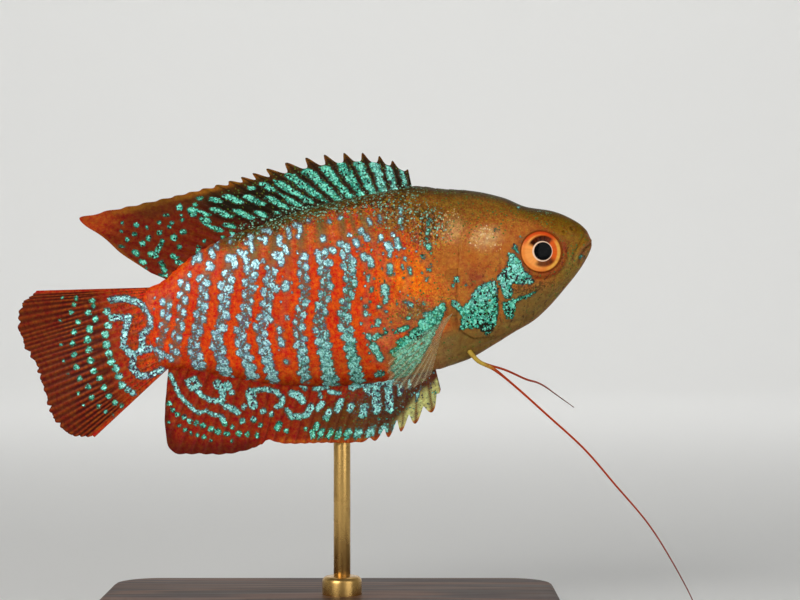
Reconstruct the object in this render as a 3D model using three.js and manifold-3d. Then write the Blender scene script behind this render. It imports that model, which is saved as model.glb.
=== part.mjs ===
// A male dwarf gourami as a still, life-size display model on a plain stand.
// Millimetres, +Z up, +X towards the fish's head. The origin is the middle of the stand's underside.
import * as THREE from "three";
import { mergeVertices } from "three/addons/utils/BufferGeometryUtils.js";
import Module from "manifold-3d";

const wasm = await Module();
wasm.setup();

// Driving dimensions. The fish is drawn in its own frame: x along the body towards the head,
// z towards the back, y to its left. That frame is then pitched nose up and lifted onto the stand.
const PITCH_DEG = 12;
const FISH_HEIGHT = 44.85;
const GAP = 0.3;

const BASE_LENGTH = 60;
const BASE_DEPTH = 40;
const BASE_THICK = 5;
const BASE_CORNER = 6;
const BASE_CHAMFER = 0.8;
const ROD_RADIUS = 1.1;
const ROD_X = 1.5;
const ROD_Y = 2.3;
const ROD_TOP = 35.5;
const COLLAR_RADIUS = 2.6;
const COLLAR_HEIGHT = 2.4;

const SNOUT_X = 34.5;
const TAIL_ROOT_X = -24.4;
const BODY_STATIONS = 46;
const BODY_SIDES = 24;

const EYE_AT = [28.2, -0.85];
const EYE_RADIUS = 2.75;
const EYE_HALF_THICK = 1.65;
const EYE_OUT = 2.3;

const DORSAL_RAYS = 24;
const ANAL_RAYS = 30;
const TAIL_RAYS = 16;
const FIN_EDGE_THICK = 0.52;
const FIN_ROOT_THICK = 0.95;

// The fish's outline from the side: height of the back and of the belly at each x, and half its width.
const BACK = [
  [34.5, -0.25], [34.25, 0.75], [33, 2.33], [30.5, 4.1], [27.1, 5.45], [24.5, 7.2], [20.7, 8.9],
  [16.9, 9.96], [13.1, 11.05], [2.6, 11.25], [-5.25, 10.5], [-10.4, 9.85], [-15, 8.8], [-18.6, 7.2],
  [-21, 5.75], [-23.6, 5.0], [-24.1, 4.2], [-24.4, 1.4],
];
const BELLY = [
  [34.5, -1.5], [34.2, -2.1], [32.6, -4], [29.7, -6.44], [27.2, -8.3], [24.9, -9.6], [22.3, -10.45],
  [19.7, -11.4], [15.3, -12.75], [11.6, -13.1], [5, -13.2], [0, -12.77], [-8.6, -10.95], [-15.4, -8.43],
  [-21, -6.2], [-23.6, -5.5], [-24.1, -4.7], [-24.4, -1.6],
];
const HALF_WIDTH = [
  [34.5, 0.35], [34.2, 0.95], [33, 1.75], [31, 2.6], [28, 3.5], [24, 4.25], [20, 4.7], [14, 4.85],
  [6, 4.6], [0, 4.1], [-6, 3.4], [-12, 2.6], [-18, 1.85], [-22.4, 1.3], [-24, 0.7], [-24.4, 0.35],
];

// A smooth function through points listed by falling x, with no overshoot between them.
function smoothThrough(points) {
  const p = [...points].reverse();
  const slope = p.map((_, i) => {
    if (i === 0 || i === p.length - 1) return 0;
    const before = (p[i][1] - p[i - 1][1]) / (p[i][0] - p[i - 1][0]);
    const after = (p[i + 1][1] - p[i][1]) / (p[i + 1][0] - p[i][0]);
    return before * after <= 0 ? 0 : (2 * before * after) / (before + after);
  });
  slope[0] = (p[1][1] - p[0][1]) / (p[1][0] - p[0][0]);
  const last = p.length - 1;
  slope[last] = (p[last][1] - p[last - 1][1]) / (p[last][0] - p[last - 1][0]);
  return (x) => {
    const at = THREE.MathUtils.clamp(x, p[0][0], p[last][0]);
    let i = 0;
    while (i < last - 1 && at > p[i + 1][0]) i += 1;
    const h = p[i + 1][0] - p[i][0];
    const t = (at - p[i][0]) / h;
    const rise = p[i + 1][1] - p[i][1];
    const a = slope[i] * h - rise;
    const b = rise - slope[i + 1] * h;
    return p[i][1] + rise * t + t * (1 - t) * (a * (1 - t) + b * t);
  };
}
const back = smoothThrough(BACK);
const belly = smoothThrough(BELLY);
const halfWidth = smoothThrough(HALF_WIDTH);

// Closed bodies as manifold solids, and back to geometry.
function solidOf(geometry) {
  const bare = geometry.clone();
  bare.deleteAttribute("normal");
  bare.deleteAttribute("uv");
  const merged = mergeVertices(bare, 1e-4);
  return new wasm.Manifold(
    new wasm.Mesh({
      numProp: 3,
      vertProperties: new Float32Array(merged.attributes.position.array),
      triVerts: new Uint32Array(merged.index.array),
    }),
  );
}

function geometryOf(solid) {
  const mesh = solid.getMesh();
  const geometry = new THREE.BufferGeometry();
  geometry.setAttribute("position", new THREE.BufferAttribute(new Float32Array(mesh.vertProperties), 3));
  geometry.setIndex(new THREE.BufferAttribute(new Uint32Array(mesh.triVerts), 1));
  return geometry;
}

// A closed body from rings of points with the same count, its two ends closed by fans.
function loft(rings) {
  const sides = rings[0].length;
  const points = rings.flat();
  const faces = [];
  for (let r = 0; r < rings.length - 1; r += 1) {
    for (let k = 0; k < sides; k += 1) {
      const a = r * sides + k;
      const b = r * sides + ((k + 1) % sides);
      faces.push(a, b, a + sides, b, b + sides, a + sides);
    }
  }
  for (const [ring, turn] of [[0, 1], [rings.length - 1, 0]]) {
    const middle = points.length;
    const centre = rings[ring].reduce((sum, q) => sum.add(q), new THREE.Vector3());
    points.push(centre.divideScalar(sides));
    for (let k = 0; k < sides; k += 1) {
      const a = ring * sides + k;
      const b = ring * sides + ((k + 1) % sides);
      if (turn) faces.push(middle, b, a);
      else faces.push(middle, a, b);
    }
  }
  return new THREE.BufferGeometry().setFromPoints(points).setIndex(faces);
}

// The whole body: rounded back, narrower belly, widest a little above the middle. The stations crowd
// towards the snout and the tail root, where the outline turns fastest.
const STATION_CROWDING = 0.72;
const WIDEST_LEVEL = 0.52;
const BACK_FULLNESS = 0.95;
const BELLY_FULLNESS = 1.08;

function bodyRing(x) {
  const top = back(x);
  const bottom = belly(x);
  const middle = THREE.MathUtils.lerp(bottom, top, WIDEST_LEVEL);
  const ring = [];
  for (let k = 0; k < BODY_SIDES; k += 1) {
    const angle = (k / BODY_SIDES) * Math.PI * 2;
    const up = Math.sin(angle);
    const out = Math.cos(angle);
    const height = up > 0 ? top - middle : middle - bottom;
    const wide = Math.sign(out) * Math.abs(out) ** (up > 0 ? BACK_FULLNESS : BELLY_FULLNESS);
    ring.push(new THREE.Vector3(x, -halfWidth(x) * wide, middle + height * up));
  }
  return ring;
}

function bodyStationX(i) {
  const t = i / (BODY_STATIONS - 1);
  const eased = (1 - Math.cos(Math.PI * t)) / 2;
  return THREE.MathUtils.lerp(SNOUT_X, TAIL_ROOT_X, THREE.MathUtils.lerp(t, eased, STATION_CROWDING));
}

const bodyRings = Array.from({ length: BODY_STATIONS }, (_, i) => bodyRing(bodyStationX(i)));
const wholeBody = solidOf(loft(bodyRings));

// A block with the side-view outline given, running from one y to another. REACH clears the body's side.
const REACH = 10;

function block(outline, fromY, toY) {
  const shape = new THREE.Shape(outline.map(([x, z]) => new THREE.Vector2(x, z)));
  const geometry = new THREE.ExtrudeGeometry(shape, { depth: toY - fromY, bevelEnabled: false });
  geometry.rotateX(Math.PI / 2);
  geometry.translate(0, toY, 0);
  return solidOf(geometry);
}

// A thin upright cut along a line of points, through the whole width.
function slit(line, width) {
  const half = width / 2;
  const sides = [[], []];
  line.forEach((p, i) => {
    const a = line[Math.max(0, i - 1)];
    const b = line[Math.min(line.length - 1, i + 1)];
    const along = new THREE.Vector2(b[0] - a[0], b[1] - a[1]).normalize();
    sides[0].push([p[0] - along.y * half, p[1] + along.x * half]);
    sides[1].push([p[0] + along.y * half, p[1] - along.x * half]);
  });
  return block([...sides[0], ...sides[1].reverse()], -REACH, REACH);
}

// Where the head ends: the rear edge of the gill cover, then forward under the throat.
const HEAD_END = [
  [20.8, 14], [18.3, 4], [16.9, -0.2], [16.05, -3.8], [15.1, -8.3], [17, -10.3], [20, -10.9], [20.4, -15],
];
const TAIL_STALK_START = [[-16.2, 12], [-17.4, 4], [-17.8, 0], [-17.2, -4], [-16.2, -12]];
const MOUTH_TO_CHIN = [[36, -1.05], [34, -1.4], [32.1, -2.2], [31.4, -3.2], [29.4, -5], [28.3, -9]];
const GILL_COVER = [
  [18.1, 3.4], [16.9, -0.2], [16.05, -3.8], [15.1, -8.3], [16.8, -9.7], [20.3, -9.2], [21.4, -7.2],
  [21.9, -4.5], [22.3, -2.2], [22.7, 0.8], [21.8, 3.2], [20, 4.1],
];
const GILL_COVER_THICK = 1.3;
const GILL_COVER_MIDDLE = new THREE.Vector2(19.2, -3.4);

const headRegion = [...HEAD_END, [40, -15], [40, 14]];
const stalkRegion = [...TAIL_STALK_START, [-30, -12], [-30, 12]];
const jawRegion = [...MOUTH_TO_CHIN, [40, -9], [40, -1]];

// The eyes: flattened balls let into the sides of the head, clear of the sockets by the gap.
function eyeBall(side, grow) {
  const geometry = new THREE.SphereGeometry(1, 18, 10);
  geometry.rotateX(Math.PI / 2);
  geometry.scale(EYE_RADIUS + grow, EYE_HALF_THICK + grow, EYE_RADIUS + grow);
  geometry.translate(EYE_AT[0], side * EYE_OUT, EYE_AT[1]);
  return solidOf(geometry);
}

// The gill covers: the outer shell of the head's side, inside the gill cover's outline.
function gillCoverBlock(side, grow) {
  const outline = GILL_COVER.map(([x, z]) => {
    const away = new THREE.Vector2(x, z).sub(GILL_COVER_MIDDLE);
    away.setLength(away.length() + grow).add(GILL_COVER_MIDDLE);
    return [away.x, away.y];
  });
  const inner = halfWidth(19) - GILL_COVER_THICK - grow;
  return side > 0 ? block(outline, inner, REACH) : block(outline, -REACH, -inner);
}

const fish = new THREE.Group();
fish.position.z = FISH_HEIGHT;
fish.rotation.y = THREE.MathUtils.degToRad(-PITCH_DEG);

const FLESH = new THREE.MeshStandardMaterial({ color: 0xc4501c, roughness: 0.45, metalness: 0.05 });
const BACK_FLESH = new THREE.MeshStandardMaterial({ color: 0x8a5a20, roughness: 0.45, metalness: 0.05 });
const FIN_RED = new THREE.MeshStandardMaterial({ color: 0xa42a10, roughness: 0.5, metalness: 0 });
const FIN_CLEAR = new THREE.MeshStandardMaterial({ color: 0xb8c0a0, roughness: 0.4, metalness: 0 });
const FEELER_RED = new THREE.MeshStandardMaterial({ color: 0xc05a20, roughness: 0.5, metalness: 0 });
const EYE_RED = new THREE.MeshStandardMaterial({ color: 0xd04a14, roughness: 0.1, metalness: 0 });

function addTo(group, name, geometry, material) {
  const mesh = new THREE.Mesh(geometry, material);
  mesh.name = name;
  group.add(mesh);
}

// The stand's rod reaches up into a blind hole in the trunk, a little to the fish's left of its keel.
function rodInFishFrame(radius, fromZ, toZ) {
  const geometry = new THREE.CylinderGeometry(radius, radius, toZ - fromZ, 16);
  geometry.rotateX(Math.PI / 2);
  geometry.translate(ROD_X, ROD_Y, (fromZ + toZ) / 2 - FISH_HEIGHT);
  geometry.rotateY(THREE.MathUtils.degToRad(PITCH_DEG));
  return solidOf(geometry);
}
const rodHole = rodInFishFrame(ROD_RADIUS + GAP, 0, ROD_TOP + GAP);

const headCut = slit(HEAD_END, GAP);
const stalkCut = slit(TAIL_STALK_START, GAP);
const jawCut = slit(MOUTH_TO_CHIN, GAP);
const sockets = eyeBall(1, GAP).add(eyeBall(-1, GAP));
const gillHollows = gillCoverBlock(1, GAP).add(gillCoverBlock(-1, GAP));

const headAndJaw = wholeBody.intersect(block(headRegion, -REACH, REACH)).subtract(headCut);
const jaw = headAndJaw.intersect(block(jawRegion, -REACH, REACH)).subtract(jawCut);
const head = headAndJaw
  .subtract(block(jawRegion, -REACH, REACH))
  .subtract(jawCut)
  .subtract(sockets)
  .subtract(gillHollows);
const stalk = wholeBody.intersect(block(stalkRegion, -REACH, REACH)).subtract(stalkCut);
const trunk = wholeBody
  .subtract(block(headRegion, -REACH, REACH))
  .subtract(block(stalkRegion, -REACH, REACH))
  .subtract(headCut)
  .subtract(stalkCut)
  .subtract(rodHole);

addTo(fish, "head", geometryOf(head), FLESH);
addTo(fish, "lower_jaw", geometryOf(jaw), FLESH);
addTo(fish, "trunk", geometryOf(trunk), FLESH);
addTo(fish, "tail_stalk", geometryOf(stalk), BACK_FLESH);

for (const [side, word] of [[1, "left"], [-1, "right"]]) {
  const cover = wholeBody.intersect(gillCoverBlock(side, 0)).subtract(headCut);
  addTo(fish, `gill_cover_${word}`, geometryOf(cover), BACK_FLESH);
  addTo(fish, `eye_${word}`, geometryOf(eyeBall(side, 0)), EYE_RED);
}

// A point along an open smooth line through the points given, u from 0 to 1.
function lineThrough(points) {
  const curve = new THREE.CatmullRomCurve3(
    points.map(([x, z]) => new THREE.Vector3(x, 0, z)),
    false,
    "centripetal",
  );
  return (u) => curve.getPoint(u);
}

// A fin: a thin web from its root line out to its edge, thickened along each ray.
function fin({ root, edge, rays, along, across, notch, bow }) {
  const near = [];
  const far = [];
  for (let i = 0; i <= along; i += 1) {
    const u = i / along;
    const from = root(u);
    const tip = edge(u);
    const ridge = Math.cos(u * rays * Math.PI) ** 2;
    const reach = 1 - notch * (1 - ridge) * (1 - u * 0.7);
    for (let j = 0; j <= across; j += 1) {
      const v = (j / across) * reach;
      const at = new THREE.Vector3().lerpVectors(from, tip, v);
      at.add(bow(u, v));
      const thick = THREE.MathUtils.lerp(FIN_ROOT_THICK, FIN_EDGE_THICK, Math.min(1, v * 1.6));
      const half = (thick + 0.16 * ridge * (1 - v)) / 2;
      near.push(new THREE.Vector3(at.x, at.y - half, at.z));
      far.push(new THREE.Vector3(at.x, at.y + half, at.z));
    }
  }
  return closedSheet(near, far, along, across);
}

// Two like grids of points joined round their edges into one closed body.
function closedSheet(near, far, along, across) {
  const row = across + 1;
  const count = near.length;
  const faces = [];
  for (let i = 0; i < along; i += 1) {
    for (let j = 0; j < across; j += 1) {
      const a = i * row + j;
      faces.push(a, a + row, a + 1, a + 1, a + row, a + row + 1);
      const b = a + count;
      faces.push(b, b + 1, b + row, b + 1, b + row + 1, b + row);
    }
  }
  const wall = (p, q) => faces.push(p, p + count, q, q, p + count, q + count);
  for (let i = 0; i < along; i += 1) {
    wall(i * row, (i + 1) * row);
    wall((i + 1) * row + across, i * row + across);
  }
  for (let j = 0; j < across; j += 1) {
    wall(j + 1, j);
    wall(along * row + j, along * row + j + 1);
  }
  return new THREE.BufferGeometry().setFromPoints([...near, ...far]).setIndex(faces);
}

// The sheet's faces come out either way round with the fin's direction, so each is turned to point out.
function facingOut(geometry) {
  const points = geometry.attributes.position;
  const index = geometry.index.array;
  let volume = 0;
  const corner = (i) => new THREE.Vector3().fromBufferAttribute(points, index[i]);
  for (let i = 0; i < index.length; i += 3) {
    volume += corner(i).dot(corner(i + 1).cross(corner(i + 2)));
  }
  if (volume < 0) {
    for (let i = 0; i < index.length; i += 3) [index[i + 1], index[i + 2]] = [index[i + 2], index[i + 1]];
  }
  return geometry;
}

const straight = () => new THREE.Vector3();

// Dorsal fin: sixteen spines along the back, then the soft rays drawn out into a pointed lobe.
const DORSAL_ROOT = [13.2, -20.4];
const DORSAL_EDGE = [
  [13.2, 13.2], [11.4, 14.8], [8.4, 16.4], [5.3, 17.1], [0.1, 17.5], [-5.2, 17.1], [-10.8, 16.5],
  [-16.4, 16.2], [-22.6, 16.1], [-27, 16.1], [-30.1, 15.8], [-27.8, 13.2], [-25.4, 10.1], [-22.3, 7.0],
];
const dorsalFin = fin({
  root: (u) => {
    const x = THREE.MathUtils.lerp(DORSAL_ROOT[0], DORSAL_ROOT[1], u);
    return new THREE.Vector3(x, 0, back(x) + GAP);
  },
  edge: lineThrough(DORSAL_EDGE),
  rays: DORSAL_RAYS,
  along: DORSAL_RAYS * 2,
  across: 5,
  notch: 0.1,
  bow: straight,
});
addTo(fish, "dorsal_fin", facingOut(dorsalFin), FIN_RED);

// Anal fin: from behind the breast to the tail stalk, deepest near the front, with a step half way.
const ANAL_ROOT = [11.3, -22.6];
const ANAL_EDGE = [
  [11.4, -15.6], [10.4, -17.8], [8.3, -18.9], [5.4, -19.9], [2.4, -20.4], [-1.6, -20], [-4.9, -19.3],
  [-8.8, -18.6], [-12.4, -17.8], [-14.4, -18.1], [-17.6, -18.1], [-20.8, -17.4], [-24.5, -16.3],
  [-24.8, -13.9], [-24.3, -11], [-23.3, -7.6],
];
const analFin = fin({
  root: (u) => {
    const x = THREE.MathUtils.lerp(ANAL_ROOT[0], ANAL_ROOT[1], u);
    return new THREE.Vector3(x, 0, belly(x) - GAP);
  },
  edge: lineThrough(ANAL_EDGE),
  rays: ANAL_RAYS,
  along: ANAL_RAYS * 2,
  across: 4,
  notch: 0.1,
  bow: straight,
});
addTo(fish, "anal_fin", facingOut(analFin), FIN_RED);

// Tail fin: a blunt fan from the rounded end of the tail stalk.
const TAIL_EDGE = [
  [-38, 7.8], [-39.9, 5.8], [-40.8, 2.96], [-40.4, 0.8], [-39.5, -1.7], [-39.1, -5], [-38.8, -8.4],
  [-37, -11.2], [-34.6, -12.7],
];
const TAIL_ROOT = [[-23.75, 5.2], [-24.75, 4.0], [-24.9, 0], [-24.75, -4.5], [-23.75, -5.7]];
const tailFin = fin({
  root: lineThrough(TAIL_ROOT),
  edge: lineThrough(TAIL_EDGE),
  rays: TAIL_RAYS,
  along: TAIL_RAYS * 2,
  across: 5,
  notch: 0.035,
  bow: (u, v) => new THREE.Vector3(0, 0.5 * Math.sin(Math.PI * v) * Math.sin(2 * Math.PI * u), 0),
});
addTo(fish, "tail_fin", facingOut(tailFin), FIN_RED);

// Breast fins: small clear fans behind the gill covers, lying back and a little away from the side.
const PECTORAL_RAYS = 9;
const PECTORAL_AT = [14, -7.2];
const PECTORAL_LENGTH = 10.6;
const PECTORAL_ROOT_OUT = 5.15;
const PECTORAL_EDGE_OUT = 7.4;
for (const [side, word] of [[1, "left"], [-1, "right"]]) {
  const root = (u) => {
    const down = u - 0.5;
    const at = [PECTORAL_AT[0] - 1.8 * down, PECTORAL_AT[1] - 2 * down];
    return new THREE.Vector3(at[0], side * PECTORAL_ROOT_OUT, at[1]);
  };
  const edge = (u) => {
    const angle = THREE.MathUtils.degToRad(THREE.MathUtils.lerp(198, 240, u));
    const length = PECTORAL_LENGTH - 3 * (2 * u - 0.9) ** 2;
    const x = PECTORAL_AT[0] + length * Math.cos(angle);
    return new THREE.Vector3(x, side * PECTORAL_EDGE_OUT, PECTORAL_AT[1] + length * Math.sin(angle));
  };
  const pectoral = fin({
    root,
    edge,
    rays: PECTORAL_RAYS,
    along: PECTORAL_RAYS * 2,
    across: 5,
    notch: 0.05,
    bow: (u, v) => new THREE.Vector3(0, side * 0.45 * Math.sin(Math.PI * v), 0),
  });
  addTo(fish, `pectoral_fin_${word}`, facingOut(pectoral), FIN_CLEAR);
}

// Pelvic feelers: each pelvic fin is one long thread. The right one hangs forward and down past the head,
// and the left one reaches forward and is carried out to the fish's left.
const FEELER_STEPS = 26;
const FEELER_SIDES = 6;
const FEELER_ROOT_RADIUS = 0.4;
const FEELER_TIP_RADIUS = 0.26;

function feeler(route) {
  const points = route.map((p) => new THREE.Vector3(...p));
  const curve = new THREE.CatmullRomCurve3(points, false, "centripetal");
  const rings = [];
  for (let i = 0; i <= FEELER_STEPS; i += 1) {
    const t = i / FEELER_STEPS;
    const at = curve.getPointAt(t);
    const along = curve.getTangentAt(t);
    const across = new THREE.Vector3(0, 1, 0).cross(along).normalize();
    const up = along.clone().cross(across);
    const radius = THREE.MathUtils.lerp(FEELER_ROOT_RADIUS, FEELER_TIP_RADIUS, Math.min(1, t * 3));
    const ring = [];
    for (let k = 0; k < FEELER_SIDES; k += 1) {
      const angle = (k / FEELER_SIDES) * Math.PI * 2;
      const out = across.clone().multiplyScalar(radius * Math.cos(angle));
      ring.push(at.clone().add(out).addScaledVector(up, radius * Math.sin(angle)));
    }
    rings.push(ring);
  }
  return facingOut(loft(rings));
}

const FEELER_RIGHT = [
  [16.2, -0.75, -13.25], [17.2, -0.95, -13.9], [20.43, -1.5, -16.6], [24.1, -2.2, -21.6],
  [27.9, -2.9, -26.95], [30.7, -3.3, -32.05], [33.9, -3.5, -38.05], [36.1, -3.5, -44.1],
  [37.5, -3.3, -49.2], [37.9, -3.1, -51.9],
];
const FEELER_LEFT = [
  [16.2, 0.75, -13.25], [17.9, 1.3, -13.95], [20.2, 2.6, -15.2], [22.7, 5.4, -16.85], [24.3, 9.4, -17.8],
  [25.6, 14.2, -18.9], [27, 19.2, -20.4], [29.4, 23.4, -23],
];
addTo(fish, "pelvic_feeler_right", feeler(FEELER_RIGHT), FEELER_RED);
addTo(fish, "pelvic_feeler_left", feeler(FEELER_LEFT), FEELER_RED);

// The stand: a flat wooden base with round corners and chamfered edges, a brass rod and its collar.
const WOOD = new THREE.MeshStandardMaterial({ color: 0x3a2418, roughness: 0.5, metalness: 0 });
const BRASS = new THREE.MeshStandardMaterial({ color: 0xb08d4c, roughness: 0.3, metalness: 1 });

function baseOutline() {
  const half = [BASE_LENGTH / 2 - BASE_CHAMFER, BASE_DEPTH / 2 - BASE_CHAMFER];
  const shape = new THREE.Shape();
  const corners = [[1, -1, -90], [1, 1, 0], [-1, 1, 90], [-1, -1, 180]];
  for (const [sx, sy, from] of corners) {
    const start = THREE.MathUtils.degToRad(from);
    const centre = [sx * (half[0] - BASE_CORNER), sy * (half[1] - BASE_CORNER)];
    shape.absarc(...centre, BASE_CORNER, start, start + Math.PI / 2);
  }
  return shape;
}

const baseGeometry = new THREE.ExtrudeGeometry(baseOutline(), {
  depth: BASE_THICK - 2 * BASE_CHAMFER,
  bevelEnabled: true,
  bevelThickness: BASE_CHAMFER,
  bevelSize: BASE_CHAMFER,
  bevelSegments: 1,
  curveSegments: 5,
});
baseGeometry.translate(0, 0, BASE_CHAMFER);

function upright(radius, fromZ, toZ, sides) {
  const geometry = new THREE.CylinderGeometry(radius, radius, toZ - fromZ, sides);
  geometry.rotateX(Math.PI / 2);
  geometry.translate(ROD_X, ROD_Y, (fromZ + toZ) / 2);
  return solidOf(geometry);
}

const ROD_SUNK = 3;
const ROD_SIDES = 16;
const COLLAR_SIDES = 24;
const rodFoot = BASE_THICK - ROD_SUNK;
const collarFoot = BASE_THICK + GAP;
const rodBore = upright(ROD_RADIUS + GAP, rodFoot - GAP, BASE_THICK + 2 * COLLAR_HEIGHT, ROD_SIDES);
const base = solidOf(baseGeometry).subtract(rodBore);
const collar = upright(COLLAR_RADIUS, collarFoot, collarFoot + COLLAR_HEIGHT, COLLAR_SIDES).subtract(rodBore);

const stand = new THREE.Group();
addTo(stand, "stand_base", geometryOf(base), WOOD);
addTo(stand, "stand_rod", geometryOf(upright(ROD_RADIUS, rodFoot, ROD_TOP, ROD_SIDES)), BRASS);
addTo(stand, "stand_collar", geometryOf(collar), BRASS);

const model = new THREE.Group();
model.add(fish, stand);

export default model;
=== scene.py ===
# A male dwarf gourami as a still, life-size display model: a painted fish held on a wood and brass stand.
# Metres, +X towards the fish's head, +Y to its left, +Z up from the middle of the stand's underside.
import math

import bpy
import numpy as np
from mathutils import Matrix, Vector


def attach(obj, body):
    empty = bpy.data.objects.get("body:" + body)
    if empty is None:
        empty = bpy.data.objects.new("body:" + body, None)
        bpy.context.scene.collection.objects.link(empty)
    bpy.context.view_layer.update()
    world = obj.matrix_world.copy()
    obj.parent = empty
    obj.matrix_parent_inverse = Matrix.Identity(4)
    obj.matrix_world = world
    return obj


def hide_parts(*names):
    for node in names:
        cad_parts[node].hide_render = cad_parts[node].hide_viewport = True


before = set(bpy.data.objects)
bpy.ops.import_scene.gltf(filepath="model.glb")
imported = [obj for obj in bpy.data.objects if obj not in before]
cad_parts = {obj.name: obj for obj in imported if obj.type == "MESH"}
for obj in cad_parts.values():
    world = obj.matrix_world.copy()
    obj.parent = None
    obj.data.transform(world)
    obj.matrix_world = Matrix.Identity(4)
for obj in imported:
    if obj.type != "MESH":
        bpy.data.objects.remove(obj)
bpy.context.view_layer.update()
bpy.ops.object.select_all(action="DESELECT")

# The camera stands level with the fish and square to its right side, as the photograph was taken.
# At the fish's middle plane its picture is 104 mm wide.
CAMERA_X = 0.0091
CAMERA_AWAY = 0.289
CAMERA_HEIGHT = 0.04355
LENS_MM = 100
SENSOR_MM = 36
NEAR_CLIP = 0.01
bpy.ops.object.camera_add(
    location=(CAMERA_X, -CAMERA_AWAY, CAMERA_HEIGHT), rotation=(math.radians(90), 0, 0)
)
camera = bpy.context.object
camera.data.lens = LENS_MM
camera.data.sensor_width = SENSOR_MM
camera.data.clip_start = NEAR_CLIP
bpy.context.scene.camera = camera
bpy.context.scene.view_settings.view_transform = "Standard"

# The studio: one plain pale floor that curves up all round into a low wall, two soft lights before the
# fish, one above it and one on the wall behind, and a faint even light. It isn't part of the model.
FLOOR_SIDES = 96
FLOOR_RADIUS = 0.8
COVE_RADIUS = 0.5
COVE_STEPS = 12
WALL_HEIGHT = 0.9
FLOOR_SHARP_EDGE = math.radians(40)
FLOOR_COLOUR = (0.86, 0.86, 0.845, 1)
EVEN_LIGHT = (0.95, 0.97, 1, 1)
EVEN_STRENGTH = 0.12


def add_node(tree, kind, inputs=None, **settings):
    """A shader node with its settings made and its inputs, given by name or number, set or linked."""
    made = tree.nodes.new("ShaderNode" + kind)
    for name, value in settings.items():
        setattr(made, name, value)
    for key, value in (inputs or {}).items():
        if isinstance(value, bpy.types.NodeSocket):
            tree.links.new(value, made.inputs[key])
        else:
            made.inputs[key].default_value = value
    return made


def finish_material(name, shader_inputs):
    """A material of one Principled shader, whose inputs are given by a function of its node tree."""
    material = bpy.data.materials.new(name)
    material.use_nodes = True
    tree = material.node_tree
    tree.nodes.clear()
    shader = add_node(tree, "BsdfPrincipled", shader_inputs(tree))
    add_node(tree, "OutputMaterial", {"Surface": shader.outputs[0]})
    return material


bpy.ops.mesh.primitive_circle_add(vertices=FLOOR_SIDES, radius=FLOOR_RADIUS, fill_type="NGON")
floor = bpy.context.object
floor.name = "studio_floor"
bpy.ops.object.mode_set(mode="EDIT")
bpy.ops.mesh.select_mode(type="EDGE")
bpy.ops.mesh.select_all(action="DESELECT")
bpy.ops.mesh.select_non_manifold()
reach, height = FLOOR_RADIUS, 0
for step in range(1, COVE_STEPS + 1):
    turn = math.radians(90) * step / COVE_STEPS
    next_reach = FLOOR_RADIUS + COVE_RADIUS * math.sin(turn)
    next_height = COVE_RADIUS * (1 - math.cos(turn))
    bpy.ops.mesh.extrude_edges_move(TRANSFORM_OT_translate={"value": (0, 0, next_height - height)})
    bpy.ops.transform.resize(value=(next_reach / reach, next_reach / reach, 1))
    reach, height = next_reach, next_height
bpy.ops.mesh.extrude_edges_move(TRANSFORM_OT_translate={"value": (0, 0, WALL_HEIGHT)})
bpy.ops.mesh.select_all(action="SELECT")
bpy.ops.mesh.normals_make_consistent(inside=True)
bpy.ops.object.mode_set(mode="OBJECT")
bpy.ops.object.shade_smooth_by_angle(angle=FLOOR_SHARP_EDGE)
floor.data.materials.append(
    finish_material("studio_floor", lambda tree: {"Base Color": FLOOR_COLOUR, "Roughness": 0.7})
)

FISH_MIDDLE = Vector((0, 0, 0.045))


def soft_light(name, place, size, watts, colour=(1, 1, 1), target=FISH_MIDDLE):
    """A square soft light that faces the fish, or another target."""
    bpy.ops.object.light_add(type="AREA", location=place)
    light = bpy.context.object
    light.name = name
    light.rotation_euler = (Vector(place) - target).to_track_quat("Z", "Y").to_euler()
    light.data.size = size
    light.data.energy = watts
    light.data.color = colour


soft_light("key_light", (-0.42, -0.62, 0.36), 0.42, 3.7, (1, 0.985, 0.96))
soft_light("fill_light", (0.5, -0.6, 0.22), 0.5, 1.6, (0.97, 0.985, 1))
soft_light("top_light", (0.1, 0.42, 0.7), 0.6, 1, target=Vector((0, 0.55, 0)))
soft_light("wall_light", (0, 0.5, 0.75), 0.7, 3.2, target=Vector((0, 1.3, 0.35)))

world = bpy.data.worlds.new("studio")
bpy.context.scene.world = world
world.use_nodes = True
background = world.node_tree.nodes["Background"]
background.inputs["Color"].default_value = EVEN_LIGHT
background.inputs["Strength"].default_value = EVEN_STRENGTH

# The skin: one closed surface over head, trunk and tail stalk, cast in resin and painted.
# It lies inside the scales. The fish is drawn in millimetres in its own frame, x along the body to the
# head, z to the back and y to its left, which is pitched nose up and lifted onto the stand.
PITCH = math.radians(12)
FISH_HEIGHT = 44.85
MM = 0.001
SNOUT_X = 34.5
TAIL_ROOT_X = -24.4
COAT_DEPTH = 0.12
THINNEST = 0.12
BACK = [
    (34.5, -0.25), (34.25, 0.75), (33, 2.33), (30.5, 4.1), (27.1, 5.45), (24.5, 7.2), (20.7, 8.9),
    (16.9, 9.96), (13.1, 11.05), (2.6, 11.25), (-5.25, 10.5), (-10.4, 9.85), (-15, 8.8), (-18.6, 7.2),
    (-21, 5.75), (-23.6, 5), (-24.1, 4.2), (-24.4, 1.4),
]
BELLY = [
    (34.5, -1.5), (34.2, -2.1), (32.6, -4), (29.7, -6.44), (27.2, -8.3), (24.9, -9.6), (22.3, -10.45),
    (19.7, -11.4), (15.3, -12.75), (11.6, -13.1), (5, -13.2), (0, -12.77), (-8.6, -10.95), (-15.4, -8.43),
    (-21, -6.2), (-23.6, -5.5), (-24.1, -4.7), (-24.4, -1.6),
]
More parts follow.
